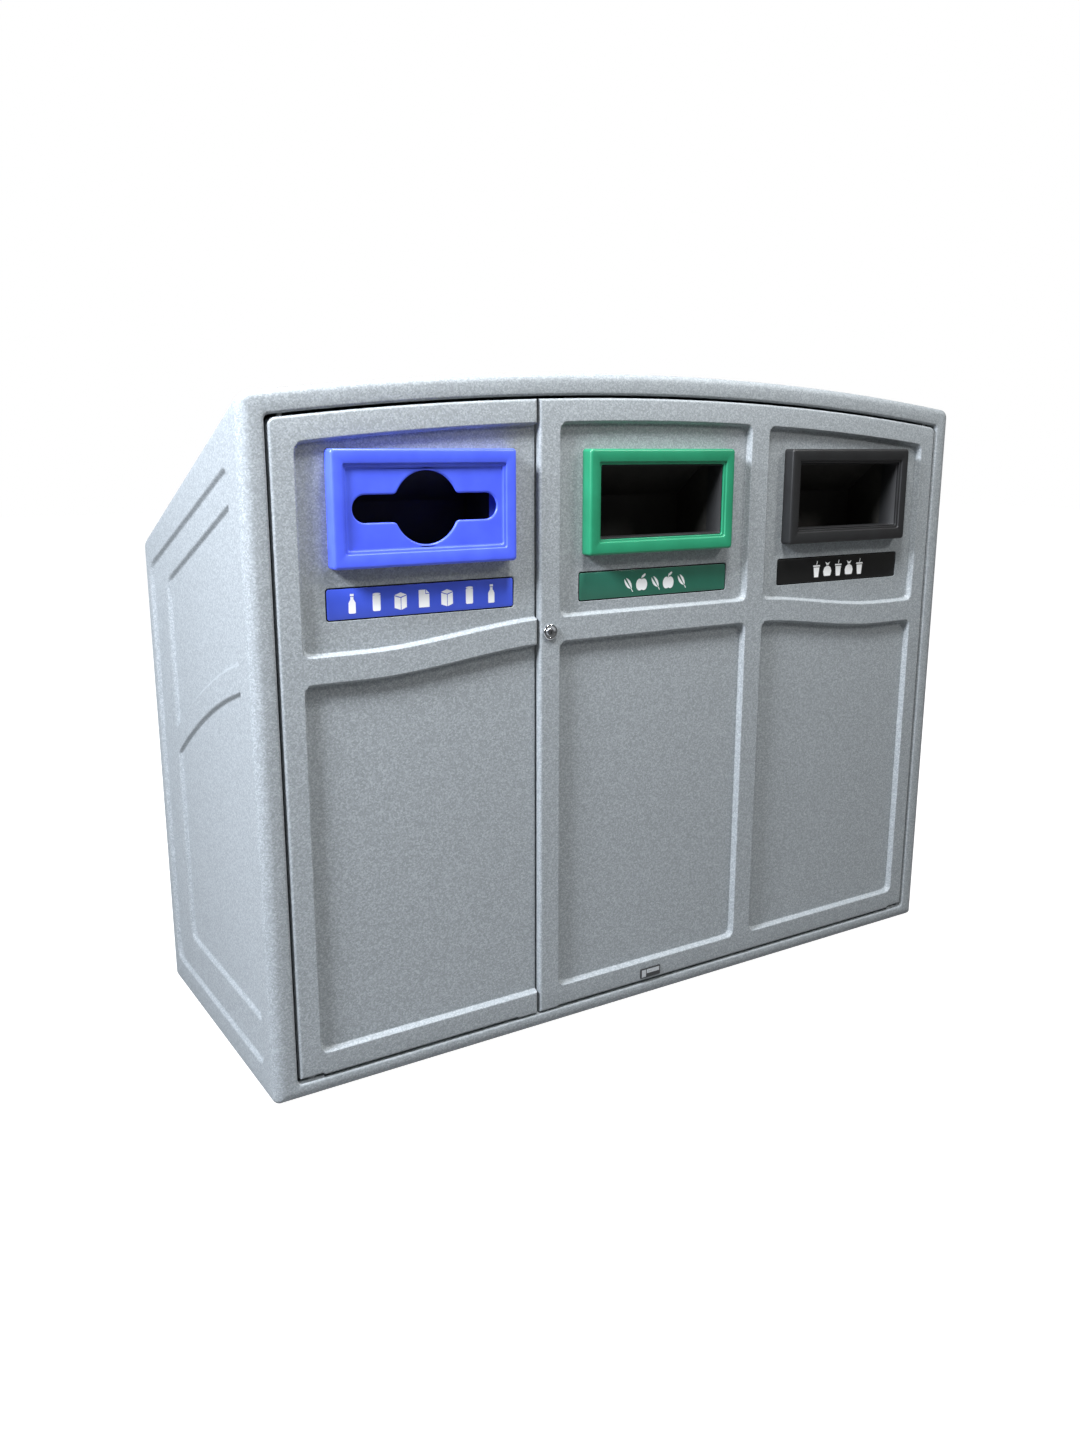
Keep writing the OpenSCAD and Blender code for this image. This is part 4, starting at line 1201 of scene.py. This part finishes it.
# Laminated plates: flat colour under a smooth film
BLUE_PLATE = moulded_plastic("blue_laminated_plate", "#3f57cf", "#435cd6", 0.3, 0.0012, 0.006 * MM)
GREEN_PLATE = moulded_plastic("green_laminated_plate", "#2c6a57", "#2f6f5c", 0.3, 0.0012, 0.006 * MM)
BLACK_PLATE = moulded_plastic("black_laminated_plate", "#151515", "#181818", 0.3, 0.0012, 0.006 * MM, 0.3)
# Screen ink: opaque and matt white
WHITE_INK = moulded_plastic("white_screen_ink", "#f2f4f4", "#f8f9f9", 0.5, 0.002, 0.02 * MM, 0.3)
# Foam gasket and stops: soft, dull black; the gasket's black rim is a painted shadow line round each label
# seat
SHADOW_FOAM = moulded_plastic("black_shadow_foam", "#0f1010", "#151616", 0.85, 0.0015, 0.15 * MM, 0.2)
STOP_RUBBER = moulded_plastic("moulded_rubber", "#1a1a1a", "#212121", 0.7, 0.002, 0.1 * MM, 0.3)
# Liner polyethylene: dark, waxy and lightly textured
LINER_PE = moulded_plastic("grey_liner_polyethylene", "#34383a", "#3d4143", 0.48, 0.004, 0.12 * MM, 0.4)
# Nylon: grey bushes and dark guides, with a low sheen
BUSH_NYLON = moulded_plastic("grey_nylon", "#5d6163", "#676b6d", 0.4, 0.003, 0.04 * MM)
GUIDE_NYLON = moulded_plastic("black_nylon", "#1f2021", "#262829", 0.45, 0.003, 0.05 * MM)
# Nameplate rim: dark anodised look
DARK_RIM = moulded_plastic("dark_enamelled_rim", "#26282a", "#2e3033", 0.35, 0.004, 0.03 * MM)
print("materials so far:", len(bpy.data.materials))

# %% [markdown]
# Chrome, zinc plate and brushed aluminium are all metals: their colour is their reflection. What
# tells them apart is roughness, and the direction of the fine scratches.

# %% Metals


def plated_metal(name, shade, rough, grain, stretch, depth):
    """A metal with fine marks: stretch draws the marks out along an axis."""
    material, tree, shader, where = start_finish(name, Metallic=1.0)
    shader.inputs["Base Color"].default_value = linear(shade)
    mapped = put(tree, "ShaderNodeMapping", {"Scale": stretch}, {"Vector": where})
    marks = put(tree, "ShaderNodeTexNoise", {"Scale": 1 / grain, "Detail": 3.0},
                {"Vector": mapped.outputs[0]})
    vary_roughness(tree, shader, marks.outputs["Fac"], 0.7 * rough, 1.3 * rough)
    raise_surface(tree, shader, marks.outputs["Fac"], 0.2, depth)
    return material


EVEN, ALONG_X, ALONG_Z = (1.0, 1.0, 1.0), (0.05, 1.0, 1.0), (1.0, 1.0, 0.05)
# Chrome plate: mirror bright, almost unmarked
CHROME = plated_metal("polished_chrome", "#d9dcdf", 0.09, 0.002, EVEN, 0.01 * MM)
# Zinc plate on drawn bar and pressed plate: grey, faintly streaked
ZINC = plated_metal("zinc_plated_steel", "#b9bdc0", 0.32, 0.0015, ALONG_Z, 0.03 * MM)
# Brushed aluminium: fine level lines
ALUMINIUM = plated_metal("brushed_aluminium", "#cfd3d6", 0.3, 0.0008, ALONG_X, 0.02 * MM)
print("metals:", CHROME.name, ZINC.name, ALUMINIUM.name)

# %% [markdown]
# With the finishes ready, the trees are run once for each set of screws and bars, and every piece
# is given its finish and the body it moves with; the working parts that it replaces are hidden.

# %% Screws, ribs and pads
BODIES = frame["record"]["behaviour"]["bodies"]


def body_of(node):
    """The body that a working part moves with."""
    return next(body for body, nodes in BODIES.items() if node in nodes)


def run_screws(name, node, shank_r, head_r, head_t, rows=2):
    """Screws in a grid that fills a node's box, with their heads at its rear."""
    low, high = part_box(node)
    seat = high[1] - head_t
    place = (middle((low, high))[0], seat, middle((low, high))[2])
    up = high[2] - low[2] - 2 * head_r if rows > 1 else 0.0
    return run_tree(name, screw_tree, ZINC, **{
        "Place": place, "Across": high[0] - low[0] - 2 * head_r, "Up": up, "Rows": rows,
        "Shank Radius": shank_r, "Shank": seat - low[1], "Head Radius": head_r, "Head": head_t})


screws = {}
for bay in BAY_X:
    node = bay + "_mouth_screws"
    screws[node] = run_screws(bay + "_pan_screws", node, 2.5 * MM, 5 * MM, 2.5 * MM)
SMALL_SCREW = (1.7 * MM, 3 * MM, 2 * MM)
screws["rod_guide_screws"] = run_screws("guide_pan_screws", "rod_guide_screws", *SMALL_SCREW)
screws["foot_bolt_screws"] = run_screws("bolt_pan_screws", "foot_bolt_screws", *SMALL_SCREW, rows=1)

RIB_H, RIB_W, SUNK = 20 * MM, 30 * MM, 1 * MM
rib_pitch = BAY_X["waste"] - BAY_X["compost"]
ribs = []
for name, shift in (("left_floor_ribs", -110 * MM), ("right_floor_ribs", 110 * MM)):
    ribs.append(run_tree(name, bar_tree, GRANITE, **{
        "Place": (BAY_X["mixed"] + shift, FRAME_BACK - SUNK, FLOOR_TOP + (RIB_H - SUNK) / 2), "Count": 3,
        "Pitch": rib_pitch, "Width": RIB_W, "Height": RIB_H + SUNK, "Corner": 5 * MM,
        "Length": INNER_REAR - FRAME_BACK + 2 * SUNK}))
pad_x = OPENING_HALF - PAD_REACH / 2
ribs.append(run_tree("hinge_pads", bar_tree, GRANITE, **{
    "Place": (-pad_x, FRONT_Y + 4 * MM, SILL_Z + PAD_LIFT / 2 - SUNK / 2), "Count": 2, "Pitch": 2 * pad_x,
    "Width": PAD_REACH, "Height": PAD_LIFT + SUNK, "Corner": 1.2 * MM, "Length": 28 * MM}))
for piece in ribs:
    face_outwards(piece)
    soften(piece.data, 40)
print(len(screws), "sets of screws and", len(ribs), "sets of bars")

# %% Dress and attach the pieces


def attach(piece, material, body, slot, *nodes):
    """Gives a piece its finish, its body and the nodes it replaces; the slot argument is not used."""
    piece.data.materials.clear()
    piece.data.materials.append(material)
    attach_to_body(piece, body)
    if nodes:
        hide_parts(*nodes)


attach(cabinet, GRANITE, "cabinet", "granite_plastic", "cabinet_shell")
attach(left_door, GRANITE, "left_door", "granite_plastic", "left_door_panel")
attach(right_door, GRANITE, "right_door", "granite_plastic", "right_door_panel")
for piece in ribs:
    attach(piece, GRANITE, "cabinet", "granite_plastic")
MOUTHS = {"mixed": (mixed_surround, BLUE_ABS, BLUE_PLATE, "blue"),
          "compost": (compost_surround, GREEN_ABS, GREEN_PLATE, "green"),
          "waste": (waste_surround, BLACK_ABS, BLACK_PLATE, "black")}
for bay, (surround, plastic, plate, tint) in MOUTHS.items():
    body = body_of(bay + "_surround")
    attach(surround, plastic, body, tint + "_plastic", bay + "_surround")
    attach(label_plates[bay], plate, body, tint + "_label", bay + "_label")
    attach(label_signs[bay], WHITE_INK, body, tint + "_label")
    # The gasket's black rim is a painted shadow line round the seat.
    attach(label_shadow_gaskets[bay], SHADOW_FOAM, body, "rubber")
attach(mixed_sleeve, BLUE_ABS, "left_door", "blue_plastic")
for lip in black_lips.values():
    attach(lip, BLACK_ABS, "right_door", "black_plastic")
attach(nameplate_rim, DARK_RIM, "right_door", "nameplate_metal", "nameplate")
attach(nameplate_fields, ALUMINIUM, "right_door", "nameplate_metal")
attach(lock_ring, CHROME, "right_door", "chrome", "lock_barrel")
for side, tub in liners.items():
    attach(tub, LINER_PE, "cabinet", "liner_plastic", side + "_liner")
for node, piece in screws.items():
    attach(piece, ZINC, body_of(node), "steel", node)

# %% Finishes of the working parts that stay
KEPT = {
    CHUTE_PE: ("mixed_chute", "compost_chute", "waste_chute"),
    ZINC: ("left_hinge_pins", "right_hinge_pins", "upper_strike_ferrule", "lower_strike_ferrule",
           "bolt_strike_ferrule", "foot_bolt", "lock_nut", "lock_cam", "cam_screw", "upper_latch_rod",
           "lower_latch_rod"),
    CHROME: ("lock_plug",), STOP_RUBBER: ("door_stops",),
    BUSH_NYLON: ("left_door_bushes", "right_door_bushes"),
    GUIDE_NYLON: ("foot_bolt_housing", "upper_rod_guide", "lower_rod_guide"),
}
for material, nodes in KEPT.items():
    for node in nodes:
        mesh = frame["nodes"][node].data
        mesh.materials.clear()
        mesh.materials.append(material)
print("working parts with a finish:", sum(len(nodes) for nodes in KEPT.values()))

# %% [markdown]
# The light is a plain white studio: a dim even surround, a key above and to the right that rakes
# across the front, a strong side light from the left that lifts the tall flank, one light above
# and one behind. The floor and the surround are white for the camera alone, so that they stay pale
# without flooding the doors. The camera stands to the left and looks a little down at the doors.

# %% Floor, light and camera


def camera_level(tree, others, camera, socket):
    """Sets a strength to one value for the camera's own rays and another for all other light."""
    path = put(tree, "ShaderNodeLightPath")
    level = put(tree, "ShaderNodeMapRange", {"To Min": others, "To Max": camera},
                {"Value": path.outputs["Is Camera Ray"]})
    tree.links.new(level.outputs[0], socket)


def area_light(name, place, target, size, power, colour="#ffffff"):
    """A round lamp that hangs at a place, points at a target and isn't seen itself."""
    light = bpy.data.lights.new(name, "AREA")
    light.shape, light.size, light.energy = "DISK", size, power
    light.color = linear(colour)[:3]
    made = bpy.data.objects.new(name, light)
    made.location = place
    made.visible_camera = False
    made.rotation_euler = (Vector(target) - made.location).to_track_quat("-Z", "Y").to_euler()
    bpy.context.scene.collection.objects.link(made)


floor = make_object("pale_floor", [(-20, -20, 0), (20, -20, 0), (20, 20, 0), (-20, 20, 0)], [(0, 1, 2, 3)])
pale, _, pale_shader, _ = start_finish("pale_floor_paint", Roughness=0.9, Specular_IOR_Level=0.1)
pale_shader.inputs["Base Color"].default_value = linear("#8c8c8c")
pale_shader.inputs["Emission Color"].default_value = linear("#ffffff")
camera_level(pale.node_tree, 0.0, 1.0, pale_shader.inputs["Emission Strength"])
floor.data.materials.append(pale)

world = bpy.data.worlds.new("white_studio")
world.use_nodes = True
background = world.node_tree.nodes["Background"]
background.inputs["Color"].default_value = linear("#ffffff")
camera_level(world.node_tree, 0.15, 1.0, background.inputs["Strength"])
bpy.context.scene.world = world
area_light("key_light", (2.2, -2.6, 3.2), (0.0, 0.0, 0.7), 0.7, 52, "#fffdfa")
area_light("side_light", (-2.5, -0.77, 2.35), (-0.9, 0.0, 0.9), 0.7, 186, "#f3f7ff")
area_light("top_light", (-0.25, -1.0, 3.0), (-0.1, -0.2, 1.0), 0.6, 76)
area_light("rear_light", (1.6, 3.2, 2.4), (0.0, 0.2, 0.6), 1.2, 70)

camera = bpy.data.objects.new("camera", bpy.data.cameras.new("camera"))
camera.location = (-1.413, -2.116, 1.129)
camera.rotation_euler = (math.radians(77.05), 0.0, math.radians(-32.29))
camera.data.sensor_fit, camera.data.sensor_height = "VERTICAL", 36.0
camera.data.lens = 28.975
camera.data.shift_x, camera.data.shift_y = 0.0003, -0.0016
bpy.context.scene.collection.objects.link(camera)
bpy.context.scene.camera = camera
bpy.context.scene.view_settings.view_transform = "Standard"
print("camera", [round(v, 3) for v in camera.location])
